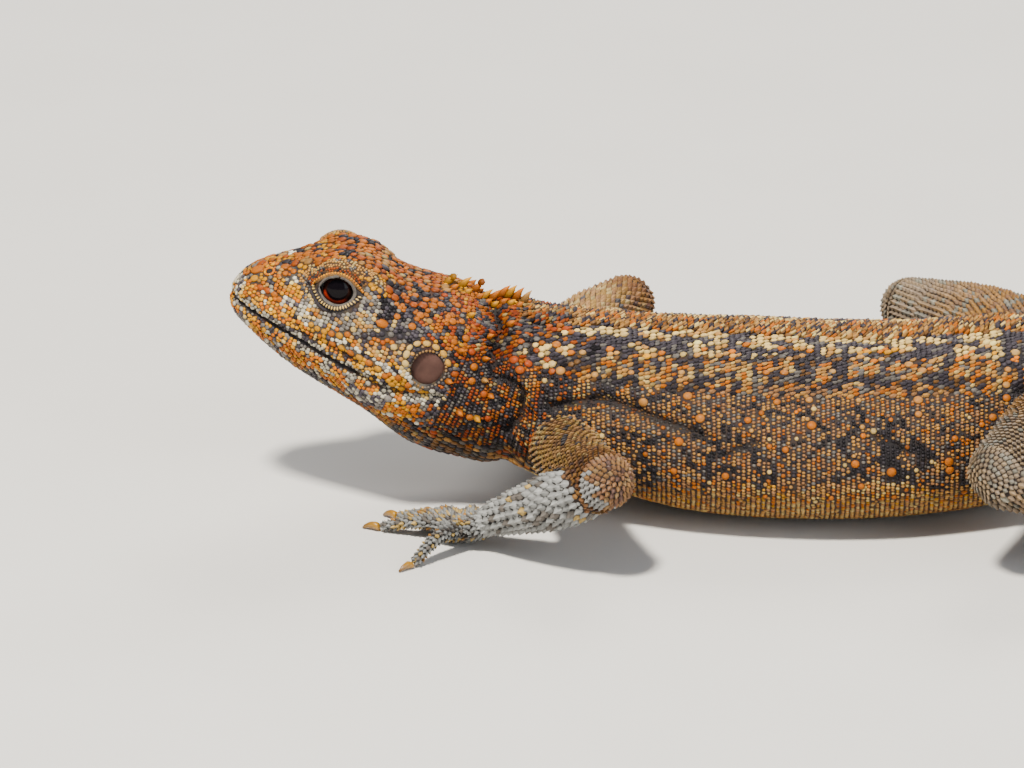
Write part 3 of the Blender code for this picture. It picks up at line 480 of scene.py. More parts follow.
# Outlines of a scale seen from above, its rear at +1, and shapes: rings of (along, across, height) shares of
# its half sizes, and the tip
SHIELD = ((1.0, 0.0), (0.36, 0.84), (-0.52, 0.90), (-0.92, 0.0), (-0.52, -0.90), (0.36, -0.84))
RHOMB = ((1.05, 0.0), (0.15, 0.96), (-0.78, 0.46), (-0.78, -0.46), (0.15, -0.96))
ROUND = tuple((math.cos(math.pi * k / 3), math.sin(math.pi * k / 3)) for k in range(6))
FULL_ROUND = tuple((math.cos(math.pi * k / 5), math.sin(math.pi * k / 5)) for k in range(10))
SHAPES = {
    "keeled": (SHIELD, ((0.98, 0.98, -0.5), (1.0, 1.0, 0.22), (0.74, 0.15, 0.85)), (0.72, 0.0, 1.12)),
    "rhomb": (RHOMB, ((0.98, 0.98, -0.5), (1.0, 1.0, 0.18), (0.80, 0.12, 0.75)), (0.86, 0.0, 1.1)),
    "plate": (SHIELD, ((0.98, 0.98, -0.5), (1.0, 1.0, 0.42), (0.72, 0.70, 0.92)), (0.10, 0.0, 1.0)),
    "bead": (ROUND, ((0.95, 0.95, -0.6), (1.0, 1.0, 0.25), (0.68, 0.68, 0.80)), (0.0, 0.0, 1.0)),
    "granule": (ROUND, ((1.0, 1.0, -0.5), (0.90, 0.90, 0.45)), (0.12, 0.0, 1.0)),
    "large": (FULL_ROUND, ((0.95, 0.95, -0.6), (1.0, 1.0, 0.20), (0.80, 0.80, 0.70)), (0.05, 0.0, 1.0)),
    "cone": (ROUND, ((1.0, 1.0, -0.5), (0.92, 0.92, 0.12), (0.50, 0.50, 0.60)), (0.30, 0.0, 1.15)),
}


# Edges of keels sharper than this, in degrees, stay crisp
KEEL_ANGLE = 42.0
# The unwrap: its margin, what is left between the margins, and half the size of one scale's patch
UNWRAP_EDGE, UNWRAP_SPAN, UNWRAP_PATCH = 0.01, 0.98, 0.0015
# All scales so far: places, colours, half widths and backward directions
PLACED = []


def template(shape):
    """Points of one scale, as shares of its half sizes and height, and its faces."""
    outline, rings, tip = SHAPES[shape]
    outline = np.array(outline)
    sides = len(outline)
    local = []
    for along, across, height in rings:
        level = np.full(sides, height)
        local.append(np.stack([outline[:, 0] * along, outline[:, 1] * across, level], axis=-1))
    faces = [list(range(sides))[::-1]]
    for low in range(0, (len(rings) - 1) * sides, sides):
        high = low + sides
        for i in range(sides):
            j = (i + 1) % sides
            faces.append([low + i, low + j, high + j, high + i])
    last = (len(rings) - 1) * sides
    for i in range(sides):
        faces.append([last + i, last + (i + 1) % sides, last + sides])
    return np.concatenate(local + [np.array([tip])]), faces


def scale_points(local, place, normal, back, length, width, height, lift):
    """The places in mm of all points of some scales of one shape."""
    back = back - normal * np.sum(back * normal, axis=1, keepdims=True)
    back /= np.maximum(np.linalg.norm(back, axis=1, keepdims=True), 1e-9)
    across = np.cross(normal, back)
    raised = local[None, :, 2] * height[:, None]
    raised = raised + np.where(local[None, :, 2] > 0, (local[None, :, 0] + 0.3) * lift[:, None], 0)
    body = (place[:, None, :] + back[:, None, :] * (local[None, :, 0] * length[:, None])[..., None]
            + across[:, None, :] * (local[None, :, 1] * width[:, None])[..., None]
            + normal[:, None, :] * raised[..., None])
    body[..., 2] = np.maximum(body[..., 2], GROUND + 0.01)
    return body


def scale_mesh(name, points, loops, totals):
    """A mesh from points in mm, the points of all faces in one row, and the number in each face."""
    mesh = bpy.data.meshes.new(name)
    mesh.vertices.add(len(points))
    mesh.vertices.foreach_set("co", (points * MM).astype(np.float32).reshape(-1))
    mesh.loops.add(len(loops))
    mesh.loops.foreach_set("vertex_index", loops.astype(np.int32))
    mesh.polygons.add(len(totals))
    mesh.polygons.foreach_set("loop_start", (np.cumsum(totals) - totals).astype(np.int32))
    mesh.polygons.foreach_set("loop_total", totals.astype(np.int32))
    mesh.update(calc_edges=True)
    mesh.validate()
    return mesh


class Coat:
    """Collects scales and makes them one mesh."""

    def __init__(self, name, slot, crisp=False, edge=0.30):
        # edge is the share of its colour that each scale keeps at its base: painted shade in the gaps between
        # the scales
        self.edge = edge
        self.name = name
        self.slot = slot
        self.crisp = crisp
        self.rows = []
        self.bands = 0

    def add(self, shape, place, normal, back, length, width, height, colour, u, v, lift=0.0):
        """Scales at places in mm, in a band of the unwrap of their own.

        length and width are half sizes, lift raises the rear edge."""
        band = self.bands
        self.bands += 1
        count = len(place)
        if count == 0:
            return
        spread = np.ones(count)
        PLACED.append((place, colour * np.ones((count, 3)), width * spread, back * np.ones((count, 3))))
        self.rows.append((shape, place, normal, back, length * spread, width * spread, height * spread,
                          colour, np.asarray(u) * spread, np.asarray(v) * spread, lift * spread, band))

    def unwrap(self, local, u, v, band):
        """Each scale's small patch in its band of the map."""
        across = UNWRAP_EDGE + UNWRAP_SPAN * u[:, None] + local[None, :, 0] * UNWRAP_PATCH
        down = UNWRAP_EDGE + UNWRAP_SPAN * (band + v[:, None]) / max(1, self.bands)
        return np.stack([across, down + local[None, :, 1] * UNWRAP_PATCH], axis=-1).reshape(-1, 2)

    def build(self, material):
        """One mesh object with a colour for each scale and the map OFBake."""
        points, colours, maps, loops, totals = [], [], [], [], []
        offset = 0
        for shape, place, normal, back, length, width, height, colour, u, v, lift, band in self.rows:
            local, faces = template(shape)
            body = scale_points(local, place, normal, back, length, width, height, lift)
            # Painted shade and highlight: each scale is painted darker towards its base, as shade in the gaps
            # between scales, and up to a tenth lighter at its top
            shade = np.clip(self.edge + 0.95 * np.clip(local[:, 2], 0, 1), 0, 1.1)
            corners = np.concatenate([np.array(face) for face in faces])
            firsts = offset + np.arange(len(place)) * len(local)
            points.append(body.reshape(-1, 3))
            colours.append((colour[:, None, :] * shade[None, :, None]).reshape(-1, 3))
            maps.append(self.unwrap(local, u, v, band))
            loops.append((firsts[:, None] + corners[None, :]).reshape(-1))
            totals.append(np.tile([len(face) for face in faces], len(place)))
            offset += len(place) * len(local)
        loops = np.concatenate(loops)
        mesh = scale_mesh(self.name, np.concatenate(points), loops, np.concatenate(totals))
        paint(mesh, np.concatenate(colours))
        layer = mesh.uv_layers.new(name="OFBake")
        spots = np.clip(np.concatenate(maps)[loops], 0, 1)
        layer.data.foreach_set("uv", spots.astype(np.float32).reshape(-1))
        mesh.shade_smooth()
        if self.crisp:
            mesh.set_sharp_from_angle(angle=math.radians(KEEL_ANGLE))
        obj = linked(self.name, mesh)
        mesh.materials.append(material)
        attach(obj, "root")


def linked(name, mesh):
    """A new object of a mesh, in the scene."""
    obj = bpy.data.objects.new(name, mesh)
    bpy.context.scene.collection.objects.link(obj)
    return obj


def paint(mesh, colours):
    """Stores a colour for each point of a mesh."""
    layer = mesh.color_attributes.new("Markings", "FLOAT_COLOR", "POINT")
    values = np.ones((len(mesh.vertices), 4), np.float32)
    values[:, :3] = rich(colours)
    layer.data.foreach_set("color", values.reshape(-1))


# Reading the solids


def node_tree(*names):
    """A search tree, in mm, over the faces of some CAD nodes."""
    points, faces = [], []
    for name in names:
        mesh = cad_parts[name].data
        base = len(points)
        points += [v.co / MM for v in mesh.vertices]
        faces += [[base + i for i in p.vertices] for p in mesh.polygons]
    return BVHTree.FromPolygons(points, faces)


def object_tree(obj):
    """A search tree, in mm, over an object's faces."""
    points = [v.co / MM for v in obj.data.vertices]
    return BVHTree.FromPolygons(points, [list(p.vertices) for p in obj.data.polygons])


def search_tree(places):
    """A search tree over places."""
    search = KDTree(len(places))
    for index, place in enumerate(places):
        search.insert(place, index)
    search.balance()
    return search


def smooth_normals(obj):
    """Positions in mm and smooth normals of an object's points."""
    count = len(obj.data.vertices)
    places = np.zeros(count * 3)
    obj.data.vertices.foreach_get("co", places)
    normals = np.zeros(count * 3)
    obj.data.vertex_normals.foreach_get("vector", normals)
    return places.reshape(-1, 3) / MM, normals.reshape(-1, 3)


class Surface:
    """The skin: finds its nearest point and smooth normal."""

    def __init__(self, obj):
        self.tree = object_tree(obj)
        self.places, self.normals = smooth_normals(obj)
        self.faces = [list(p.vertices) for p in obj.data.polygons]

    def settle(self, points, reach):
        """Moves points onto the skin: returns which stay, their places and normals."""
        keep, places, normals = [], [], []
        for index, point in enumerate(points):
            found, _, face, distance = self.tree.find_nearest(Vector(point))
            if found is None or distance > reach:
                continue
            smooth = self.normals[self.faces[face]].mean(axis=0)
            keep.append(index)
            places.append(found)
            normals.append(smooth / max(np.linalg.norm(smooth), 1e-9))
        return np.array(keep, int), np.array(places).reshape(-1, 3), np.array(normals).reshape(-1, 3)


def trunk_frames(t):
    """Middle, side and upward directions of trunk sections at t."""
    x, y, z, lean, heading = smooth_values(TRUNK, t).T
    middle = np.stack([x, y, z], axis=-1)
    side = np.stack([-np.sin(heading), np.cos(heading), 0 * x], axis=-1)
    above = np.stack([np.sin(lean), 0 * x, np.cos(lean)], axis=-1)
    return middle, side, above


def path_frames(path, count):
    """Middle, side and upward directions along a limb, and the share of its length."""
    steps = np.linalg.norm(np.diff(np.asarray(path, float), axis=0), axis=1)
    knots = np.concatenate(([0.0], np.cumsum(steps)))
    rows = [(k, *p) for k, p in zip(knots, path)]
    inner = np.linspace(knots[0], knots[-1], count)
    middle = smooth_values(rows, inner)
    tangent = unit(np.gradient(middle, inner, axis=0))
    side = unit(np.cross(tangent, (0.0, 0.0, 1.0)))
    return middle, side, np.cross(side, tangent), inner / knots[-1]


def lattice(tree, middles, sides, aboves, start, end, spacing, rays=90, reach=30.0):
    """Points on a tube's surface in staggered rows between two angles, 0 at its right side and 90 on top.

    Each ray comes in from the given reach. Returns ring numbers, angles and places."""
    rings, angles, places = [], [], []
    sweep = np.linspace(start, end, rays)
    for k, (middle, side, above) in enumerate(zip(middles, sides, aboves)):
        hits, turned_to = [], []
        for degrees in sweep:
            angle = math.radians(degrees)
            direction = side * math.cos(angle) + above * math.sin(angle)
            hit = tree.ray_cast(Vector(middle + direction * reach), Vector(-direction), reach)[0]
            if hit is not None:
                hits.append(hit)
                turned_to.append(degrees)
        if len(hits) < 3:
            continue
        hits = np.array(hits)
        run = np.concatenate(([0.0], np.cumsum(np.linalg.norm(np.diff(hits, axis=0), axis=1))))
        count = max(2, int(round(run[-1] / spacing)))
        marks = (np.arange(count) + (0.25 if k % 2 else 0.75)) * run[-1] / count
        places.append(np.stack([np.interp(marks, run, hits[:, a]) for a in range(3)], axis=-1))
        rings.append(np.full(count, k))
        angles.append(np.interp(marks, run, turned_to))
    if not places:
        return np.zeros(0, int), np.zeros(0), np.zeros((0, 3))
    return np.concatenate(rings), np.concatenate(angles), np.concatenate(places)


def cap_points(tree, centre, axis, spacing, radius, limit=88.0):
    """Points over the round end of a tube: turn around the axis, angle from it, and places."""
    axis = np.asarray(axis, float) / np.linalg.norm(axis)
    side = np.cross(axis, (0, 0, 1.0))
    side = side / max(np.linalg.norm(side), 1e-6)
    other = np.cross(axis, side)
    turns, tilts, places = [], [], []
    steps = max(2, int(math.radians(limit) * radius / spacing))
    for k in range(steps):
        tilt = math.radians(limit) * k / steps
        count = max(1, int(round(2 * math.pi * math.sin(tilt) * radius / spacing)))
        for i in range(count):
            turn = 2 * math.pi * (i + 0.5 * (k % 2)) / count
            outwards = side * math.cos(turn) + other * math.sin(turn)
            direction = axis * math.cos(tilt) + outwards * math.sin(tilt)
            hit = tree.ray_cast(Vector(centre), Vector(direction))[0]
            if hit is not None:
                turns.append(turn / (2 * math.pi))
                tilts.append(tilt)
                places.append(hit)
    return np.array(turns), np.array(tilts), np.array(places).reshape(-1, 3)


# Materials


class Value:
    """A shader value that works in Python sums."""

    def __init__(self, tree, socket):
        self.tree = tree
        self.socket = socket

    def _math(self, operation, other, swap=False):
        node = self.tree.nodes.new("ShaderNodeMath")
        node.operation = operation
        pair = (other, self) if swap else (self, other)
        for slot_index, item in enumerate(pair):
            if isinstance(item, Value):
                self.tree.links.new(item.socket, node.inputs[slot_index])
            else:
                node.inputs[slot_index].default_value = item
        return Value(self.tree, node.outputs[0])

    def __add__(self, other):
        return self._math("ADD", other)

    def __radd__(self, other):
        return self._math("ADD", other, True)

    def __sub__(self, other):
        return self._math("SUBTRACT", other)

    def __rsub__(self, other):
        return self._math("SUBTRACT", other, True)

    def __mul__(self, other):
        return self._math("MULTIPLY", other)

    def __rmul__(self, other):
        return self._math("MULTIPLY", other, True)


class Shader:
    """A material's node tree."""

    def __init__(self, name):
        self.material = bpy.data.materials.new(name)
        self.material.use_nodes = True
        self.tree = self.material.node_tree
        self.surface = self.tree.nodes["Principled BSDF"]

    def feed(self, socket, value):
        """Gives an input a number or a colour, or links a value or an output to it."""
        if isinstance(value, Value):
            value = value.socket
        if hasattr(value, "is_output"):
            self.tree.links.new(value, socket)
        else:
            socket.default_value = value

    def node(self, kind, settings=None, **inputs):
        """A node with its settings and then its inputs."""
        made = self.tree.nodes.new(kind)
        for key, value in (settings or {}).items():
            setattr(made, key, value)
        for key, value in inputs.items():
            self.feed(made.inputs[key], value)
        return made

    def noise(self, scale, detail=2.0):
        """Noise over the object."""
        place = self.node("ShaderNodeTexCoord").outputs["Object"]
        made = self.node("ShaderNodeTexNoise", Vector=place, Scale=scale, Detail=detail)
        return Value(self.tree, made.outputs[0])

    def attribute(self, name, output="Color"):
        """A colour or number stored on the mesh."""
        return self.node("ShaderNodeAttribute", {"attribute_name": name}).outputs[output]

    def mix(self, share, low, high):
        """A mix of two colours."""
        made = self.node("ShaderNodeMix", {"data_type": "RGBA"})
        for number, value in ((0, share), (6, low), (7, high)):
            self.feed(made.inputs[number], value)
        return made.outputs[2]

    def ramp(self, share, stops):
        """A colour ramp through stops of place and colour."""
        made = self.node("ShaderNodeValToRGB", Fac=share)
        elements = made.color_ramp.elements
        elements[0].position, elements[0].color = stops[0]
        elements[1].position, elements[1].color = stops[-1]
        for position, colour in stops[1:-1]:
            elements.new(position).color = colour
        return made.outputs["Color"]

    def link(self, value, name):
        """Feeds one of the surface's inputs."""
        self.feed(self.surface.inputs[name], value)

    def bump(self, height, strength, distance):
        """Bump from a height value."""
        made = self.node("ShaderNodeBump", Height=height, Strength=strength, Distance=distance)
        self.link(made.outputs["Normal"], "Normal")


def scale_material():
    """Horny scales: their own colour with fine wear, a soft gloss and a little grain."""
    shader = Shader("scales")
    colour = shader.attribute("Markings")
    grain = shader.noise(2600.0, 3.0)
    darker = shader.mix(0.35, colour, (0.02, 0.018, 0.018, 1))
    shader.link(shader.mix(1.35 - grain * 1.6, colour, darker), "Base Color")
    shader.link(0.34 + shader.noise(1500.0) * 0.25, "Roughness")
    shader.link(0.13, "Specular IOR Level")
    shader.bump(shader.noise(5200.0, 2.0), 0.35, 0.00008)
    return shader.material


def skin_material():
    """Bare skin between the scales."""
    shader = Shader("skin")
    colour = shader.attribute("Markings")
    grain = shader.noise(3000.0, 4.0)
    shader.link(shader.mix(grain * 0.8, colour, (0.03, 0.025, 0.025, 1)), "Base Color")
    shader.link(0.60 + grain * 0.3, "Roughness")
    shader.link(0.2, "Specular IOR Level")
    shader.bump(grain, 0.5, 0.00012)
    return shader.material


def eye_material():
    """Large black pupil in a dark brown iris with a red lower rim, under a wet surface."""
    shader = Shader("eye")
    gaze, low = (Value(shader.tree, shader.attribute(name, "Fac")) for name in ("gaze", "low"))
    pupil, off, on = (0.003, 0.002, 0.003, 1), (0, 0, 0, 1), (1, 1, 1, 1)
    iris = shader.ramp(gaze, ((0.0, pupil), (0.50, pupil), (0.56, (0.018, 0.006, 0.004, 1)),
                              (0.74, (0.012, 0.006, 0.005, 1)), (0.80, (0.10, 0.095, 0.09, 1))))
    rim = shader.ramp(gaze, ((0.52, off), (0.60, on), (0.70, on), (0.78, off)))
    shader.link(shader.mix(Value(shader.tree, rim) * low, iris, (0.36, 0.030, 0.012, 1)), "Base Color")
    shader.link(0.12, "Roughness")
    shader.link(0.05, "Specular IOR Level")
    shader.link(0.10, "Coat Weight")
    shader.link(0.02, "Coat Roughness")
    return shader.material


def plain_material(name, dark, light, scale, roughness, bump):
    """Two close colours mixed by noise, with fine bump."""
    shader = Shader(name)
    grain = shader.noise(scale, 3.0)
    shader.link(shader.mix(grain, (*dark, 1), (*light, 1)), "Base Color")
    shader.link(roughness + grain * 0.15, "Roughness")
    shader.link(0.15, "Specular IOR Level")
    shader.bump(grain, bump, 0.00006)
    return shader.material


def claw_material():
    """Amber horn, darker towards the tip and streaked along its length."""
    shader = Shader("claw")
    grain = shader.noise(2500.0, 2.0)
    tip = Value(shader.tree, shader.attribute("tip", "Fac"))
    warm = shader.mix(grain, (*srgb(170, 124, 20), 1), (*srgb(128, 84, 10), 1))
    shader.link(shader.mix(tip * 0.85, warm, (*srgb(58, 36, 16), 1)), "Base Color")
    shader.link(0.28, "Roughness")
    shader.link(0.4, "Coat Weight")
    shader.bump(grain, 0.2, 0.00004)
    return shader.material


# Skin


def select_only(*objects):
    """Selects objects and makes the first one active."""
    bpy.ops.object.select_all(action="DESELECT")
    for obj in objects:
        obj.select_set(True)
    bpy.context.view_layer.objects.active = objects[0]


def add_modifier(obj, kind, **settings):
    """A modifier at the end of an object's list."""
    modifier = obj.modifiers.new(kind.lower(), kind)
    for key, value in settings.items():
        setattr(modifier, key, value)


def apply_modifiers(obj):
    """Applies an object's modifiers in order."""
    select_only(obj)
    for modifier in list(obj.modifiers):
        bpy.ops.object.modifier_apply(modifier=modifier.name)


def solid_copy(node, name, swell):
    """A copy of a solid, with modifiers that join its points and swell it by so many mm."""
    obj = linked(name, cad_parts[node].data.copy())
    add_modifier(obj, "WELD", merge_threshold=1e-6)
    add_modifier(obj, "DISPLACE", strength=swell * MM, mid_level=0.0)
    return obj


# The skin in mm: its grid, how far solids are swollen to close their seams, and its depth under the scales
VOXEL, SEAM, COAT_DEPTH = 0.36, 0.22, 0.12
# The line of the mouth in mm: how far it runs out behind the corner, half its width, and its depth
MOUTH_RUN_OUT, MOUTH_WIDTH, MOUTH_DEPTH = 0.8, 0.28, 0.45


def build_skin():
    """One closed skin over all the flesh, with the seams between the solids closed."""
    copies = []
    for name in FLESH:
        obj = solid_copy(name, "skin_" + name, SEAM)
        apply_modifiers(obj)
        copies.append(obj)
    select_only(*copies)
    bpy.ops.object.join()
    skin = copies[0]
    skin.name = "skin"
    skin.data.name = "skin"
    add_modifier(skin, "REMESH", mode="VOXEL", voxel_size=VOXEL * MM)
    add_modifier(skin, "DISPLACE", strength=-(SEAM + COAT_DEPTH) * MM, mid_level=0.0)
    add_modifier(skin, "SMOOTH", factor=0.5, iterations=3)
    add_modifier(skin, "DECIMATE", ratio=0.6)
    apply_modifiers(skin)
    skin.data.materials.clear()
    carve_skin(skin)
    skin.data.shade_smooth()
    return skin


def move_points(obj, places):
    """Sets an object's points to places in mm, none of them under the floor."""
    places[:, 2] = np.maximum(places[:, 2], GROUND)
    obj.data.vertices.foreach_set("co", (places * MM).astype(np.float32).reshape(-1))


def carve_skin(skin):
    """Presses in the line of the mouth and the creases, and keeps the skin above the floor."""
    find_creases(object_tree(skin))
    places, normals = smooth_normals(skin)
    s, h = head_local(places)
    end = MOUTH_CORNER + MOUTH_RUN_OUT
    ahead = (s < end) & (s > -2)
    mouth = np.where(ahead, np.exp(-(((h - MOUTH_LEVEL) / MOUTH_WIDTH) ** 2)), 0)
    mouth = mouth * np.clip((end - s) / 1.5, 0, 1)
    places = places - normals * (MOUTH_DEPTH * mouth + creased(places)[0])[:, None]
    move_points(skin, places)
    skin.data.update()


# Body scales

# The middle of the back lies this many degrees past the top of the torso, as the animal leans to its left
BACK_ROLL = 12.0
# Creases of the neck, shoulder and flank: depth and width in mm, places in the photo
CREASES = (
    (0.55, 0.50, ((492, 300), (494, 312), (500, 332), (492, 352), (494, 377), (512, 382), (523, 392),
                  (521, 414), (508, 430))),
    (0.60, 0.60, ((551, 407), (576, 401), (605, 399), (625, 405), (645, 414), (666, 422), (700, 434))),
    (0.30, 0.50, ((723, 453), (755, 441))),
    (0.30, 0.50, ((873, 436), (904, 451))),
    (0.35, 0.60, ((1016, 390), (1010, 410), (1020, 452))),
    (0.35, 0.45, ((352, 369), (368, 380), (385, 389), (415, 393), (440, 397))),
    (0.40, 0.50, ((300, 332), (318, 341), (338, 350), (356, 361))),
)
CREASE_LINES = []
# A crease this deep in mm counts in full; there, scales are this much smaller and painted this much blacker,
# as painted shade in the crease
FULL_CREASE, CREASE_SHRINK, CREASE_PAINTED_SHADE = 0.4, 0.35, 0.85
# The share of its radius that a scale needs free of the larger scales around it
MAY_OVERLAP = 0.55
# How far in mm a scale may be moved to reach the skin: rows of the trunk, and of limbs
ROW_REACH, TUBE_REACH = 1.2, 0.5


def find_creases(tree):
    """The creases as points on the skin of the near side."""
    for depth, width, line in CREASES:
        places = [hit for hit in (photo_hit(tree, *place) for place in line) if hit is not None]
        if len(places) > 1:
            CREASE_LINES.append((depth, width, places))


def photo_ray(column, row):
    """A line of sight in mm through a place in the photo: a far point on it, and its direction."""
    rise = (FLOOR_ROW - row) / PIXELS_PER_MM
    x = (column - ORIGIN_COLUMN) / PIXELS_PER_MM
    up = Vector((0, math.sin(VIEW_ELEVATION), math.cos(VIEW_ELEVATION)))
    return Vector((x, 0, 0)) + up * rise - VIEW * 300, VIEW


def photo_hit(tree, column, row):
    """Where the line of sight through a place in the photo meets a surface first, or None."""
    return tree.ray_cast(*photo_ray(column, row))[0]


def distance_to(points, line):
    """Distance from each point to a broken line."""
    best = np.full(points.shape[:-1], 1e9)
    for a, b in zip(line[:-1], line[1:]):
        a, b = np.asarray(a, float), np.asarray(b, float)
        along = np.clip(((points - a) @ (b - a)) / ((b - a) @ (b - a)), 0, 1)
        best = np.minimum(best, np.linalg.norm(points - (a + along[..., None] * (b - a)), axis=-1))
    return best


def creased(places):
    """How deep in a crease places on either side lie, in mm and as a share from 0 to 1."""
    folded = places.copy()
    folded[:, 1] = -np.abs(places[:, 1])
    depth, share = np.zeros(len(places)), np.zeros(len(places))
    for deep, width, line in CREASE_LINES:
        near = np.exp(-((distance_to(folded, line) / width) ** 2))
        depth = np.maximum(depth, deep * near)
        share = np.maximum(share, near * min(1.0, deep / FULL_CREASE))
    return depth, share


def arc_from_top(t, degrees):
    """Rough distance in mm down the body from the middle of the back."""
    quarter = np.interp(t, (20, 36, 60, 75, 92, 103), (14, 15, 21.5, 22, 19, 13))
    roll = BACK_ROLL * np.interp(t, (32, 45, 90, 103), (0, 1, 1, 0))
    turn = (degrees - 90 + roll + 180) % 360 - 180
    return np.abs(turn) / 90.0 * quarter


class Taken:
    """Places that larger scales already hold."""

    def __init__(self):
        self.places = np.zeros((0, 3))
        self.radii = np.zeros(0)

    def hold(self, places, radii):
        """Adds places, each with its radius in mm."""
        self.places = np.concatenate((self.places, places))
        self.radii = np.concatenate((self.radii, np.ones(len(places)) * radii))

    def clear(self, places, radius):
        """Which of the places are free for scales of that radius."""
        free = np.ones(len(places), bool)
        if len(self.places) == 0:
            return free
        search = search_tree(self.places)
        widest = self.radii.max() + radius
        for index, place in enumerate(places):
            for _, other, distance in search.find_range(place, widest):
                if distance < self.radii[other] + radius * MAY_OVERLAP:
                    free[index] = False
                    break
        return free


TAKEN = Taken()
# The gaps between the solids of the trunk, and how far rows of scales keep from them
PARTINGS = (HEAD_END, 35.5, VENT, VENT + 40.0, VENT + 88.0)
PARTING_REACH = 0.2


def off_partings(t):
    """Places along the trunk moved off the gaps between the solids."""
    for parting in PARTINGS:
        near = np.abs(t - parting) < PARTING_REACH
        t = np.where(near, parting + PARTING_REACH, t)
    return t


def add_rows(coat, surface, tree, name, t, start, end, spacing, shape, sizes, paint_rows, lift, drop=None,
             jitter=0.05, hold=0.0, kept=1.0, climb=0.0, spread=0.13):
    """Rows of scales over part of the trunk. sizes are half length, half width and height in mm."""
    rng = seeded(name)
    t = off_partings(t)
    rings, degrees, places = lattice(tree, *trunk_frames(t), start, end, spacing)
    places = places + jitter * rng.standard_normal(places.shape)
    keep, places, normals = surface.settle(places, ROW_REACH)
    degrees, place_t = degrees[keep], t[rings[keep]]
    stay = TAKEN.clear(places, min(sizes[0], sizes[1])) & (rng.random(len(places)) < kept)
    if drop is not None:
        stay &= ~drop(place_t, degrees, places)
    places, normals, degrees, place_t = chosen(stay, places, normals, degrees, place_t)
    if hold > 0:
        TAKEN.hold(places, hold)
    count = len(places)
    share = creased(places)[1]
    size = varied(rng, count, spread) * (1 - CREASE_SHRINK * share)
    back = trunk_back(place_t) + 0.12 * rng.standard_normal((count, 3)) + np.array((0, 0, climb))
    colour = speckled(rng, paint_rows(place_t, degrees, places, rng.random(count)), 0.14, 0.5)
    # Painted shade: scales in a crease are faded towards black
    colour = faded(colour, BLACK, share * CREASE_PAINTED_SHADE)
    u = (place_t - t[0]) / (t[-1] - t[0])
    v = (degrees - start) / (end - start)
    normals = unit(normals + 0.05 * rng.standard_normal((count, 3)))
    length, width, height = (part * size for part in sizes)
    coat.add(shape, places, normals, back, length, width, height, colour, u, v, lift)


def trunk_back(t):
    """Direction from head to tail at t."""
    ahead = smooth_values(TRUNK, t + 0.5)[:, :3]
    behind = smooth_values(TRUNK, t - 0.5)[:, :3]
    return unit(ahead - behind)


def turned(degrees):
    """Angles folded so that the side is 0, the top 90 and the bottom -90."""
    degrees = (degrees + 180) % 360 - 180
    return np.where(degrees > 90, 180 - degrees, np.where(degrees < -90, -180 - degrees, degrees))


def paint_torso(t, degrees, places, chance):
    """Markings of neck and torso."""
    arc = arc_from_top(t, degrees)
    front = (41.5 - t) / 8.0 + 1.8 * (soft_noise(t / 2.2, arc / 2.2, 47) - 0.5) + 0.9 * (chance - 0.5)
    return either(front > 0.5, neck_colour(t, arc, chance), torso_colour(t, arc, chance))


def paint_tail(t, degrees, places, chance):
    """Markings of the tail, which start as those of the back."""
    tail = tail_colour(t - VENT, turned(degrees), chance)
    body = torso_colour(t, arc_from_top(t, degrees), chance)
    return either(chance[::-1] < (t - VENT) / 25.0, tail, body)


def paint_head(t, degrees, places, chance):
    """Markings of the head."""
    s, h = head_local(places)
    return head_colour(s, h, places[:, 1], chance)


# Left and right parts of back, flank and cheek: name, first and last angle around the trunk
BACK_SIDES = (("left", 92, 146), ("right", 34, 92))
FLANK_SIDES = (("left", 146, 214), ("right", -34, 34))
CHEEK_SIDES = (("left", 134, 212), ("right", -32, 46))
# Lengths of the tail: start and end behind the vent, distance between rows, and size of the scales
TAIL_STRETCHES = ((0.0, 30.0, 0.95, 1.0), (30.0, 62.0, 0.95, 0.92), (62.0, 95.0, 0.85, 0.8),
                  (95.0, 137.0, 0.72, 0.62))


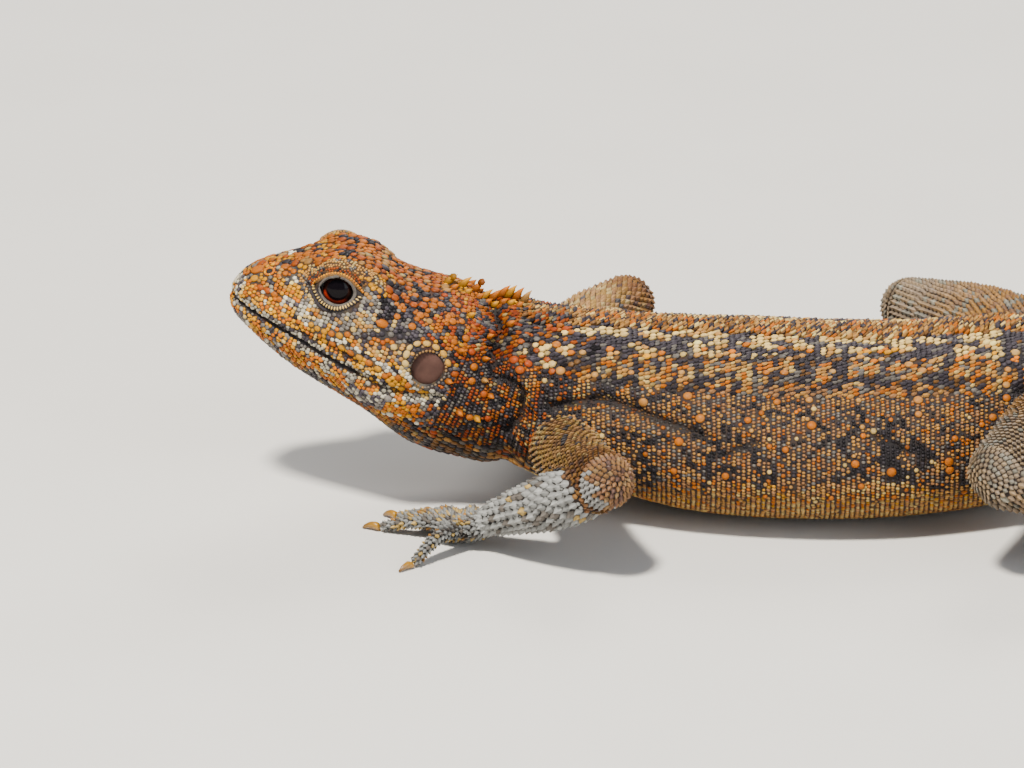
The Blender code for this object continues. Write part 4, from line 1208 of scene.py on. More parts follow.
def build_torso_coat(surface, material):
    """Pale plates in a net of small keeled scales on the back, fine granules on the flanks, flat below."""
    tree = node_tree("head", "neck", "torso", "tail_base")
    start, end = HEAD_END - 0.3, VENT
    plates = Coat("back_plates", "skin_body", crisp=True)
    add_rows(plates, surface, tree, "plates", np.arange(start + 8, end, 0.80), 34, 146, 0.86, "plate",
             (0.47, 0.40, 0.24), paint_torso, 0.08, drop=no_plate, hold=0.38, climb=0.45)
    plates.build(material)
    for name, first, last in BACK_SIDES:
        back = Coat("back_scales_" + name, "skin_body", crisp=True)
        add_rows(back, surface, tree, "spine" + name, np.arange(start + 8, end, 0.58), first, last, 0.58,
                 "keeled", (0.42, 0.24, 0.30), paint_torso, 0.30, drop=off_spine, climb=0.55, jitter=0.08,
                 hold=0.16)
        add_rows(back, surface, tree, "back" + name, np.arange(start, end, 0.60), first, last, 0.60,
                 "keeled", (0.41, 0.29, 0.24), paint_torso, 0.10, climb=0.35)
        back.build(material)
    for name, first, last in FLANK_SIDES:
        # The flank's scales get darker painted shade at their bases, for the shade between the granules
        flank = Coat("flank_scales_" + name, "skin_body", edge=0.22)
        add_rows(flank, surface, tree, "granules" + name, np.arange(start + 12, end, 1.7), first, last, 1.7,
                 "bead", (0.31, 0.31, 0.18), paint_granules, 0.0, kept=0.30, jitter=0.35, hold=0.32,
                 spread=0.2)
        add_rows(flank, surface, tree, "flank" + name, np.arange(start, end, 0.56), first, last, 0.41,
                 "granule", (0.24, 0.20, 0.17), paint_torso, 0.03, spread=0.12, jitter=0.03)
        flank.build(material)
    belly = Coat("belly_scales", "skin_body", crisp=True)
    add_rows(belly, surface, tree, "belly", np.arange(start, end, 0.80), 214, 326, 0.80, "plate",
             (0.48, 0.38, 0.14), paint_torso, 0.05)
    belly.build(material)


def paint_granules(t, degrees, places, chance):
    """Orange and tan for the stronger granules of the flank."""
    return pick(chance, (0.45, ORANGE * 0.7), (0.8, TAN * 0.9), CREAM * 0.8)


def off_spine(t, degrees, places):
    """Where the back has no upright scales of the spine."""
    return torso_zones(t, arc_from_top(t, degrees))[0] > SPINE_ZONE


def no_plate(t, degrees, places):
    """Where the back has no larger plates."""
    return ~plates_here(t, arc_from_top(t, degrees))


def build_tail_coat(surface, material):
    """Keeled scales in rings down the tail, smaller towards its tip."""
    coat = Coat("tail_scales", "skin_tail", crisp=True)
    tree = node_tree("torso", "tail_base", "tail_middle", "tail_tip")
    for first, last, step, size in TAIL_STRETCHES:
        rows = np.arange(VENT + first, VENT + last, step)
        add_rows(coat, surface, tree, f"tail{first}", rows, 0, 360, 0.82 * size, "keeled",
                 (0.64 * size, 0.40 * size, 0.24 * size), paint_tail, 0.08)
    coat.build(material)


def head_gaps(t, degrees, places):
    """Where the common scales of the head leave room: eyes, ears and the line of the mouth."""
    s, h = head_local(places)
    narrow = 1 - EAR_TAPER * np.clip((EAR_H - h) / EAR_TALL, 0, 1)
    ear = np.hypot((s - EAR_S) / (EAR_WIDE * narrow), (h - EAR_H) / EAR_TALL) < 1.0
    mouth = (np.abs(h - MOUTH_LEVEL) < 0.24) & (s < MOUTH_CORNER + 0.3)
    eye = np.zeros(len(places), bool)
    for side in SIDES:
        centre, out, forward, up = eye_frame(side)
        offset = places - np.array(centre)
        across, rise, reach = offset @ np.array(forward), offset @ np.array(up), offset @ np.array(out)
        eye |= (np.hypot(across / EYE_ROOM[0], rise / EYE_ROOM[1]) < 1.0) & (reach > 0)
    return ear & (np.abs(places[:, 1]) > 6) | mouth | eye


def build_head_coat(surface, material):
    """Plates of the crown, beads of the cheeks and temples and small scales of the throat."""
    tree = node_tree("head", "neck")
    crown = Coat("crown_scales", "skin_head")
    add_rows(crown, surface, tree, "crown plates", np.arange(1.4, 22.0, 1.05), 48, 132, 1.05, "bead",
             (0.55, 0.50, 0.22), paint_crown, 0.05, drop=head_gaps, jitter=0.16, kept=0.85, hold=0.47,
             spread=0.14)
    add_rows(crown, surface, tree, "crown", np.arange(0.3, HEAD_END, 0.52), 46, 134, 0.54, "bead",
             (0.32, 0.30, 0.15), paint_head, 0.03, drop=head_gaps, jitter=0.12, spread=0.16)
    crown.build(material)
    for name, first, last in CHEEK_SIDES:
        coat = Coat("cheek_scales_" + name, "skin_head", edge=0.5)
        add_rows(coat, surface, tree, "cheek plates" + name, np.arange(17.0, 25.5, 1.0), first, last, 1.0,
                 "bead", (0.42, 0.36, 0.20), paint_head, 0.03, drop=head_gaps, jitter=0.22, kept=0.30,
                 hold=0.36, spread=0.18)
        add_rows(coat, surface, tree, "cheek" + name, np.arange(0.3, HEAD_END, 0.46), first, last, 0.46,
                 "bead", (0.31, 0.255, 0.15), paint_head, 0.03, drop=head_gaps, jitter=0.03, spread=0.09)
        coat.build(material)
    coat = Coat("throat_scales", "skin_head")
    add_rows(coat, surface, tree, "throat", np.arange(0.3, HEAD_END, 0.57), 212, 328, 0.58, "bead",
             (0.35, 0.30, 0.18), paint_head, 0.05, drop=head_gaps, jitter=0.06)
    add_snout_tip(coat, surface, tree)
    coat.build(material)


def add_snout_tip(coat, surface, tree):
    """Small scales over the round tip of the snout."""
    x, z = head_place(2.6, 0.9)
    axis = (-math.cos(HEAD_PITCH), 0, math.sin(HEAD_PITCH))
    turns, tilts, places = cap_points(tree, (x, 0, z), axis, 0.48, 3.0, 70.0)
    keep, places, normals = surface.settle(places, 0.6)
    s, h = head_local(places)
    stay = (s < 0.35) & (np.abs(h - MOUTH_LEVEL) > 0.5) & TAKEN.clear(places, 0.24)
    places, normals, s, h = chosen(stay, places, normals, s, h)
    colour = head_colour(s, h, places[:, 1], seeded("snout").random(len(places)))
    coat.add("bead", places, normals, trunk_back(np.zeros(len(places))), 0.29, 0.28, 0.15, colour,
             tilts[keep][stay] / 1.3, turns[keep][stay], 0.03)


def paint_crown(t, degrees, places, chance):
    """The larger plates of the crown: mostly orange, a few tan or slate."""
    s = head_local(places)[0]
    light = soft_noise(s / 1.6, places[:, 1] / 1.6, 95)
    plain = pick(chance, (0.48, ORANGE), (0.72, DEEP_ORANGE), (0.80, TAN), SLATE * 0.8) * CROWN_SHADE
    paler = pick(chance, (0.4, TAN * 0.7), (0.8, ORANGE * 0.75), (0.88, CREAM * 0.5), SLATE * 0.8)
    return either(light > 0.72, paler, plain)


def eye_frame(side):
    """The eyeball's centre and its axes: out, forward along the lids, and up."""
    sign = 1.0 if side == "left" else -1.0
    out = Vector((EYE_AXIS[0], EYE_AXIS[1] * sign, EYE_AXIS[2])).normalized()
    forward = Vector((-math.cos(HEAD_PITCH * 0.4), 0, math.sin(HEAD_PITCH * 0.4)))
    forward = (forward - out * forward.dot(out)).normalized()
    up = forward.cross(out)
    if up.z < 0:
        up = -up
    return Vector((EYE_CENTRE[0], EYE_CENTRE[1] * sign, EYE_CENTRE[2])), out, forward, up


# Limbs


def limb_pieces(i):
    """Each length of a side's limbs: name, path, spacing along and around, scale sizes, kind and reach."""
    side = SIDES[i]
    upper = (SHOULDER[i], UPPER_ARM[i], ELBOW[i])
    return (
        ("upper_arm_" + side, upper, 0.66, 0.72, (0.48, 0.36, 0.20), "upper_arm", 7.0),
        ("forearm_" + side, (ELBOW[i], FOREARM[i], WRIST[i]), 0.96, 0.94, (0.72, 0.53, 0.21), "forearm", 6.0),
        ("thigh_" + side, (HIP[i], THIGH[i], KNEE[i]), 0.62, 0.66, (0.46, 0.36, 0.16), "thigh", 9.0),
        ("shin_" + side, (KNEE[i], SHIN[i], ANKLE[i]), 0.68, 0.74, (0.52, 0.40, 0.18), "shin", 6.0),
        ("hand_" + side, (WRIST[i], KNUCKLES[i]), 0.56, 0.60, (0.38, 0.29, 0.18), "hand", 4.0),
        ("foot_" + side, (ANKLE[i], TOE_ROOTS[i]), 0.58, 0.62, (0.40, 0.30, 0.18), "foot", 4.0),
    )


def digit_lines(i, wrist, knuckles, digits):
    """The middle line of each digit of a hand or foot, as in the solids."""
    wrist, knuckles = Vector(wrist), Vector(knuckles)
    reach = knuckles - wrist
    heading = math.atan2(reach.y, reach.x)
    sign = -1.0 if i == 0 else 1.0
    across = Vector((-math.sin(heading), math.cos(heading), 0))
    lines = []
    for length, turn in digits:
        angle = heading + sign * math.radians(turn)
        root = knuckles + across * (sign * turn * ROOT_SPREAD)
        root = root - reach.normalized() * (ROOT_INSET + abs(turn) * ROOT_INSET_PER_DEGREE)
        direction = Vector((math.cos(angle), math.sin(angle), 0))
        full = length + DIGIT_SUNK
        middle = root + direction * (full * 0.5) + Vector((0, 0, DIGIT_ARCH))
        middle.z = max(middle.z, DIGIT_ROOT)
        end = root + direction * full
        end.z = DIGIT_END_HEIGHT
        lines.append((tuple(root), tuple(middle), tuple(end)))
    return lines


# The rust brown of the elbow turns to the grey of the forearm over this length
ELBOW_FADE = 3.0
# The share of its half width that a scale of a limb keeps free of others
TUBE_HOLD = 0.8
# Scales of the digits: spacing along and around, and sizes
DIGIT_SCALES = (0.50, 0.56, (0.36, 0.28, 0.15))


def add_tube_coat(coat, surface, tree, name, path, along, around, sizes, kind, reach, onward=None):
    """Scales around one limb length, and over its round end, where they turn towards the next length."""
    rng = seeded(name)
    length = sum((Vector(b) - Vector(a)).length for a, b in zip(path[:-1], path[1:]))
    middle, side, above, share = path_frames(path, max(3, int(length / along)))
    rings, degrees, places = lattice(tree, middle, side, above, 0, 360, around, 60, reach)
    keep, places, normals = surface.settle(places, TUBE_REACH)
    tangent = np.gradient(middle, axis=0)
    stay = TAKEN.clear(places, sizes[1])
    places, normals, rings, degrees = chosen(stay, places, normals, rings[keep], degrees[keep])
    TAKEN.hold(places, sizes[1] * TUBE_HOLD)
    count = len(places)
    size = varied(rng, count, 0.10)
    colour = limb_colour(kind, share[rings], degrees, rng.random(count))
    # Painted shade: scales facing downwards are painted a tenth darker
    under = np.where(normals[:, 2] < -0.55, 0.9, 1.0)[:, None]
    colour = speckled(rng, colour * under, 0.10, 0.4)
    back = tangent[rings] + 0.05 * rng.standard_normal((count, 3))
    coat.add("rhomb", places, normals, back, sizes[0] * size, sizes[1] * size, sizes[2] * size, colour,
             share[rings], degrees / 360.0, 0.20)
    if onward is None:
        onward = np.array(path[-1]) - np.array(path[-2])
    onward = np.array(onward, float)
    add_tube_cap(coat, surface, tree, rng, np.array(path[-1]), tangent[-1], around, sizes, kind, onward)


def add_tube_cap(coat, surface, tree, rng, centre, axis, around, sizes, kind, onward):
    """Scales over the round end of a limb length."""
    turns, tilts, places = cap_points(tree, centre, axis, around * 0.86, 3.2)
    keep, places, normals = surface.settle(places, TUBE_REACH)
    keep, places, normals = chosen(TAKEN.clear(places, sizes[1]), keep, places, normals)
    count = len(places)
    if count == 0:
        return
    TAKEN.hold(places, sizes[1] * TUBE_HOLD)
    turns, tilts = turns[keep], tilts[keep]
    colour = limb_colour(kind, np.full(count, 1.0), turns * 360, rng.random(count))
    colour = speckled(rng, colour, 0.10, 0.4)
    if kind == "upper_arm":
        ahead = ((places - centre) @ (onward / np.linalg.norm(onward)) + 1.3) / ELBOW_FADE
        ahead = ahead + 0.9 * (soft_noise(turns * 9, tilts * 3, 87) - 0.5) + 0.2 * rng.random(count)
        colour = faded(colour, ASH * 0.84, np.where(ahead > rng.random(count), 0.92, 0.06))
    back = onward + 0.05 * rng.standard_normal((count, 3))
    coat.add("rhomb", places, normals, back, sizes[0] * 0.78, sizes[1] * 0.98, sizes[2], colour,
             tilts / 1.6, turns, 0.14)


def build_limb_coats(surface, material):
    """Scales of the four limbs, their hands, feet and digits."""
    for i, side in enumerate(SIDES):
        fore = Coat("arm_scales_" + side, "skin_hand", crisp=True, edge=0.42)
        hind = Coat("leg_scales_" + side, "skin_leg", crisp=True)
        hand, foot = (WRIST[i], KNUCKLES[i], FINGERS), (ANKLE[i], TOE_ROOTS[i], TOES)
        for coat, node, bones, kind in ((fore, "hand_", hand, "finger"), (hind, "foot_", foot, "toe")):
            tree = node_tree(node + side)
            for number, line in enumerate(digit_lines(i, *bones)):
                add_tube_coat(coat, surface, tree, f"{kind}{number}{side}", line, *DIGIT_SCALES, kind, 1.3)
        bends = {"upper_arm": (ELBOW, FOREARM), "thigh": (KNEE, SHIN), "forearm": (WRIST, KNUCKLES),
                 "shin": (ANKLE, TOE_ROOTS)}
        onward = {kind: Vector(next_to[i]) - Vector(start[i]) for kind, (start, next_to) in bends.items()}
        for name, path, along, around, sizes, kind, reach in limb_pieces(i):
            coat = fore if kind in ("upper_arm", "forearm", "hand") else hind
            add_tube_coat(coat, surface, node_tree(name), name, path, along, around, sizes, kind, reach,
                          onward.get(kind))
        fore.build(material)
        hind.build(material)


# Fill in mm: size of a search cell, smallest half size, and the furthest known scale
FILL_CELL, FILL_SMALLEST, FILL_REACH = 1.0, 0.13, 4.0
# The net between the flank's granules: their half width at most, and how much darker the scales between them
# are painted, as painted shade in the gaps
GRANULE_WIDTH, FILL_SHADE = 0.235, 0.45


def bare_spots(surface, known, widths, rng):
    """Bare points of the skin: their numbers, how large a scale fits, and the nearest known scale."""
    search = search_tree(known)
    free = ~head_gaps(None, None, surface.places) & TAKEN.clear(surface.places, FILL_SMALLEST)
    grid, spots = {}, []
    for index in rng.permutation(len(surface.places)):
        place = surface.places[index]
        if not free[index]:
            continue
        _, other, distance = search.find(place)
        room = distance - 0.75 * widths[other]
        if room < FILL_SMALLEST or distance > FILL_REACH:
            continue
        half = min(room, widths[other] * 1.05)
        cell = tuple(int(math.floor(c / FILL_CELL)) for c in place)
        near = [q for dx in (-1, 0, 1) for dy in (-1, 0, 1) for dz in (-1, 0, 1)
                for q in grid.get((cell[0] + dx, cell[1] + dy, cell[2] + dz), ())]
        if any(math.dist(place, q[0]) < (half + q[1]) * 0.85 for q in near):
            continue
        grid.setdefault(cell, []).append((tuple(place), half))
        spots.append((index, half, other))
    return (np.array(column) for column in zip(*spots))


def fill_bare_skin(surface, material):
    """Small scales wherever the rows left the skin bare, each in the colour of its nearest scale."""
    known, colours, widths, backs = (np.concatenate(parts) for parts in zip(*PLACED))
    rng = seeded("infill")
    index, half, other = bare_spots(surface, known, widths, rng)
    places, normals = surface.places[index], surface.normals[index]
    tint = speckled(rng, colours[other], 0.15, 0.5)
    # Painted shade: fill scales in a crease are faded towards black
    tint = faded(tint, BLACK * 0.8, creased(places)[1] * 0.9)
    along = (places[:, 0] - places[:, 0].min()) / np.ptp(places[:, 0])
    around = np.arctan2(places[:, 2] - 8.0, places[:, 1]) / (2 * np.pi) + 0.5
    ahead = (head_local(places)[0] < HEAD_END) & (places[:, 0] < -38)
    # Painted shade: fill scales between the flank's granules are darkened for the shade in the gaps
    tint = either((widths[other] < GRANULE_WIDTH) & ~ahead, tint * FILL_SHADE, tint)
    for name, slot, part, kind in (("infill_head", "skin_head", ahead, "bead"),
                                   ("infill_body", "skin_body", ~ahead, "granule")):
        coat = Coat(name, slot)
        coat.add(kind, places[part], normals[part], backs[other][part], half[part] * 1.15, half[part],
                 half[part] * 0.6, tint[part], along[part], around[part])
        coat.build(material)


# Eyes, lids, ears and claws


def mesh_object(name, points, faces, material):
    """A smooth mesh object from points in mm, with its faces turned outwards."""
    mesh = bpy.data.meshes.new(name)
    mesh.from_pydata([tuple(np.asarray(p) * MM) for p in points], [], faces)
    mesh.shade_smooth()
    mesh.materials.append(material)
    obj = linked(name, mesh)
    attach(obj, "root")
    select_only(obj)
    bpy.ops.object.mode_set(mode="EDIT")
    bpy.ops.mesh.select_all(action="SELECT")
    bpy.ops.mesh.normals_make_consistent(inside=False)
    bpy.ops.object.mode_set(mode="OBJECT")
    return obj


def sphere_points(centre, axes, radii, turns, rings):
    """Points and faces of a ball whose poles lie on its last axis."""
    centre = np.array(centre)
    wide, tall, deep = (np.array(axis) * radius for axis, radius in zip(axes, radii))
    points = [centre + deep]
    for k in range(1, rings):
        tilt = math.pi * k / rings
        for i in range(turns):
            turn = 2 * math.pi * i / turns
            points.append(centre + wide * math.sin(tilt) * math.cos(turn)
                          + tall * math.sin(tilt) * math.sin(turn) + deep * math.cos(tilt))
    points.append(centre - deep)
    faces = []
    for i in range(turns):
        j = (i + 1) % turns
        faces.append((0, 1 + i, 1 + j))
        for k in range(rings - 2):
            a = 1 + k * turns
            faces.append((a + i, a + turns + i, a + turns + j, a + j))
        last = 1 + (rings - 2) * turns
        faces.append((last + i, len(points) - 1, last + j))
    return points, faces


def build_eye(side, material):
    """The eyeball, with the distance from its gaze stored for the pupil and iris."""
    centre, out, forward, up = eye_frame(side)
    points, faces = sphere_points(centre, (forward, up, out), (EYE_RADIUS - 0.02,) * 3, 48, 32)
    eye = mesh_object("eyeball_" + side, points, faces, material)
    gaze = eye.data.attributes.new("gaze", "FLOAT", "POINT")
    low = eye.data.attributes.new("low", "FLOAT", "POINT")
    offset = (np.array(points) - np.array(centre)) / EYE_RADIUS
    turns = np.arccos(np.clip(offset @ np.array(out), -1, 1))
    gaze.data.foreach_set("value", turns.astype(np.float32))
    downward = -(offset @ np.array(up)) + 0.25 * (offset @ np.array(forward))
    low.data.foreach_set("value", np.clip((downward - 0.22) * 6, 0, 1).astype(np.float32))
    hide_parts("eye_" + side)


def dome_places(surface, side, across, rise):
    """Which points stay, places and normals on the skin around an eye, from distances forward and up."""
    centre, out, forward, up = (np.array(v) for v in eye_frame(side))
    flat = np.hypot(across, rise)
    depth = np.sqrt(np.maximum(LID_RADIUS ** 2 - flat ** 2, 0.3))
    places = centre + out * depth[:, None] + forward * across[:, None] + up * rise[:, None]
    return surface.settle(places, 1.6)


def ridge(places, normals, radii, lift, sides=10):
    """Points and faces of a closed tube along places; radii are across and up, in mm."""
    places = np.asarray(places) + np.asarray(normals) * lift
    tangent = unit(np.gradient(places, axis=0))
    above = unit(normals - tangent * np.sum(normals * tangent, axis=1, keepdims=True))
    across = np.cross(tangent, above)
    count = len(places)
    share = np.linspace(-1, 1, count)
    taper = np.sqrt(np.maximum(1 - np.abs(share) ** 6, 0.02))
    points, faces = [tuple(places[0] - tangent[0] * 0.05)], []
    for k in range(count):
        for i in range(sides):
            angle = 2 * math.pi * i / sides
            points.append(tuple(places[k] + across[k] * (math.cos(angle) * radii[0] * taper[k])
                                + above[k] * (math.sin(angle) * radii[1] * taper[k])))
    points.append(tuple(places[-1] + tangent[-1] * 0.05))
    for i in range(sides):
        j = (i + 1) % sides
        faces.append((0, 1 + j, 1 + i))
        for k in range(count - 1):
            a = 1 + k * sides
            faces.append((a + i, a + j, a + sides + j, a + sides + i))
        last = 1 + (count - 1) * sides
        faces.append((last + i, last + j, len(points) - 1))
    return points, faces


# Folds around each eye: start and end angle, half width and half height of the arc, tube radii, lift, colour
LID_FOLDS = (
    ("inner_lid", 0, 360, (1.94, 1.60), (0.22, 0.17), 0.03, GREY * 0.85),
    ("lower_lid", 184, 356, (2.34, 2.06), (0.26, 0.22), 0.02, SLATE * 0.9),
    ("upper_lid", 4, 176, (2.30, 1.94), (0.28, 0.24), 0.04, TAN * 0.5),
    ("under_fold", 200, 345, (2.85, 2.60), (0.24, 0.18), 0.0, SLATE * 0.6),
)
# Rows of beads around the opening: half width, half height, half bead, number, kind
LID_ROWS = (
    (2.32, 2.02, 0.15, 44, "edge"), (2.64, 2.28, 0.14, 52, "ring"), (2.92, 2.54, 0.15, 56, "ring"),
    (3.22, 2.82, 0.15, 60, "brow"), (3.52, 3.10, 0.16, 64, "brow"), (3.84, 3.40, 0.17, 66, "brow"),
    (4.17, 3.72, 0.18, 68, "brow"),
)
TOOTH_LIFT = 0.20
# How far the lids are drawn out to corners: the outer ones and the inner one
CORNER, INNER_CORNER = 0.20, 0.09


def almond(angles, wide, tall, corner):
    """Across and up along an outline round the eye that is drawn out to corners."""
    return wide * np.cos(angles) * (1 + corner * np.abs(np.cos(angles)) ** 8), tall * np.sin(angles)


def build_lid_folds(surface, material):
    """The folds of the lids around both eyes."""
    for side in SIDES:
        for name, start, end, size, radii, lift, tint in LID_FOLDS:
            angles = np.radians(np.linspace(start, end, 60))
            across, rise = almond(angles, *size, INNER_CORNER if name == "inner_lid" else CORNER)
            places, normals = dome_places(surface, side, across, rise)[1:]
            for _ in range(4):
                places[1:-1] = (places[:-2] + places[1:-1] * 2 + places[2:]) / 4
                normals[1:-1] = (normals[:-2] + normals[1:-1] * 2 + normals[2:]) / 4
            normals = unit(normals)
            if end - start == 360:
                places[-1] = places[0]
            points, faces = ridge(places, normals, radii, lift)
            fold = mesh_object(f"{name}_{side}", points, faces, material)
            grain = 0.75 + 0.5 * seeded(name).random(len(points))
            paint(fold.data, tint * grain[:, None])
            if name != "under_fold":
                TAKEN.hold(places + normals * lift, radii[0] * 0.8)


def lid_colours(kind, low, chance):
    """Colours for a row of beads around the eye; low ones lie under its middle."""
    if kind == "edge":
        return either(low, CREAM, faded(YELLOW * 0.9, ORANGE * 0.9, chance))
    if kind == "ring":
        # Painted shade: the ring rows above the eye are dark orange, brown and black for the shaded crease
        # between the upper lid and the brow
        above = pick(chance, (0.6, DEEP_ORANGE * 0.55), (0.8, BROWN), BLACK)
        below = pick(chance, (0.5, SLATE * 0.8), (0.8, GREY * 0.8), BLACK)
    else:
        above = pick(chance, (0.65, TAN * 0.95), (0.8, CREAM * 0.7), GREY)
        below = pick(chance, (0.45, GREY), (0.62, SLATE), (0.84, TAN * 0.9), CREAM * 0.9)
    return either(low, below, above)


def build_lid_beads(surface, material):
    """The rows of small beads around both eyes, and the toothed lower edge of the opening."""
    coat = Coat("lid_beads", "skin_head")
    rng = seeded("lids")
    for side in SIDES:
        forward, up = (np.array(axis) for axis in eye_frame(side)[2:])
        for wide, tall, size, count, kind in LID_ROWS:
            edge = kind == "edge"
            angles = 2 * np.pi * (np.arange(count) + 0.5 * (int(wide * 10) % 2)) / count
            loose = 1 + (0.0 if edge else 0.018 * rng.standard_normal(count))
            across, rise = almond(angles, wide * loose, tall * loose, 0.0 if kind == "brow" else CORNER)
            if kind == "brow":
                across = across * (1 + 0.10 * (rise > 0) * np.abs(np.cos(angles)) ** 3)
            keep, places, normals = dome_places(surface, side, across, rise)
            low = rise[keep] < 0
            chance = rng.random(len(keep))
            if edge:
                places = places + normals * TOOTH_LIFT
            else:
                stay = TAKEN.clear(places, size)
                keep, places, normals, low, chance = chosen(stay, keep, places, normals, low, chance)
                TAKEN.hold(places, size)
            outwards = (np.outer(np.cos(angles), forward) + np.outer(np.sin(angles), up))[keep]
            spread = size * varied(rng, len(keep), 0.0 if edge else 0.12)
            tooth = edge & low
            coat.add("bead", places, normals, outwards, spread * np.where(tooth, 1.7, 1.15),
                     spread * np.where(tooth, 0.74, 1.1), (0.20 if edge else 0.15) * 0.8,
                     lid_colours(kind, low, chance), angles[keep] / (2 * np.pi), 0.5)
    coat.build(material)


# Rows of lip scales: distance above the mouth, half size, and whether they are warm
LIP_ROWS = ((0.31, 0.19, False), (0.70, 0.21, False), (1.13, 0.23, True),
            (-0.31, 0.19, False), (-0.72, 0.24, True), (-1.22, 0.26, True))
# In front of this s the lips turn round the snout
SNOUT_TURN = 1.6


def lip_places(tree, stations, level, sign):
    """Places on one side of the head along a line at one distance from the mouth."""
    hits = []
    for s in stations:
        x, z = head_place(max(s, SNOUT_TURN), level)
        direction = Vector((0, sign, 0))
        if s < SNOUT_TURN:
            x0, z0 = head_place(s, level)
            direction = Vector((x0 - x, sign * (0.4 + s), z0 - z)).normalized()
        hit = tree.ray_cast(Vector((x, 0, z)), direction)[0]
        hits.append(hit if hit is not None else Vector((x, sign * 4, z)))
    return np.array(hits)


def lip_rows(surface, material):
    """The rows of lip scales above and below the mouth, on both sides and round the snout."""
    coat = Coat("lip_scales", "skin_head", edge=0.5)
    tree = node_tree("head")
    rng = seeded("lips")
    for offset, size, warm in LIP_ROWS:
        upper = offset > 0
        for sign in (-1.0, 1.0):
            reach = MOUTH_CORNER + (0.5 if upper else -0.1)
            stations = np.arange(0.4 + 0.3 * rng.random(), reach, size * 2.35)
            stations = stations + 0.05 * rng.standard_normal(len(stations))
            spots = lip_places(tree, stations, MOUTH_LEVEL + offset, sign)
            keep, places, normals = surface.settle(spots, 0.8)
            stations = stations[keep]
            count = len(places)
            block = soft_noise(stations / 1.5, np.full(count, 0.4 if upper else 3.4), 91)
            chance = rng.random(count)
            cool = pick(chance, (0.46, PALE * 0.9), (0.74, GREY), (0.86, SLATE), YELLOW * 0.8)
            bright = pick(chance, (0.5, ORANGE), (0.9, YELLOW), CREAM)
            colour = either((block > (0.36 if upper else 0.46)) & warm, bright, cool)
            spread = size * varied(rng, count, 0.14)
            TAKEN.hold(places, spread)
            coat.add("bead", places, normals, trunk_back(stations), spread * 1.2, spread * 1.06, 0.15, colour,
                     stations / MOUTH_CORNER, 0.5)
    coat.build(material)


# Large round scales of the near flank, by their places in the photo, with their half size in mm
FLANK_SPOTS = (
    (680, 373), (686, 396), (698, 418), (764, 373), (782, 373), (774, 402), (806, 400), (808, 425),
    (782, 449), (723, 475), (677, 441), (672, 470), (851, 463), (887, 471), (857, 485), (906, 365),
    (900, 378), (919, 371), (914, 400), (914, 414), (950, 438), (944, 461), (945, 469), (1012, 353),
    (1004, 370), (1002, 385), (1002, 398), (988, 417), (582, 353), (594, 375), (556, 345), (630, 373),
    (642, 402), (560, 371), (830, 372), (745, 420),
)


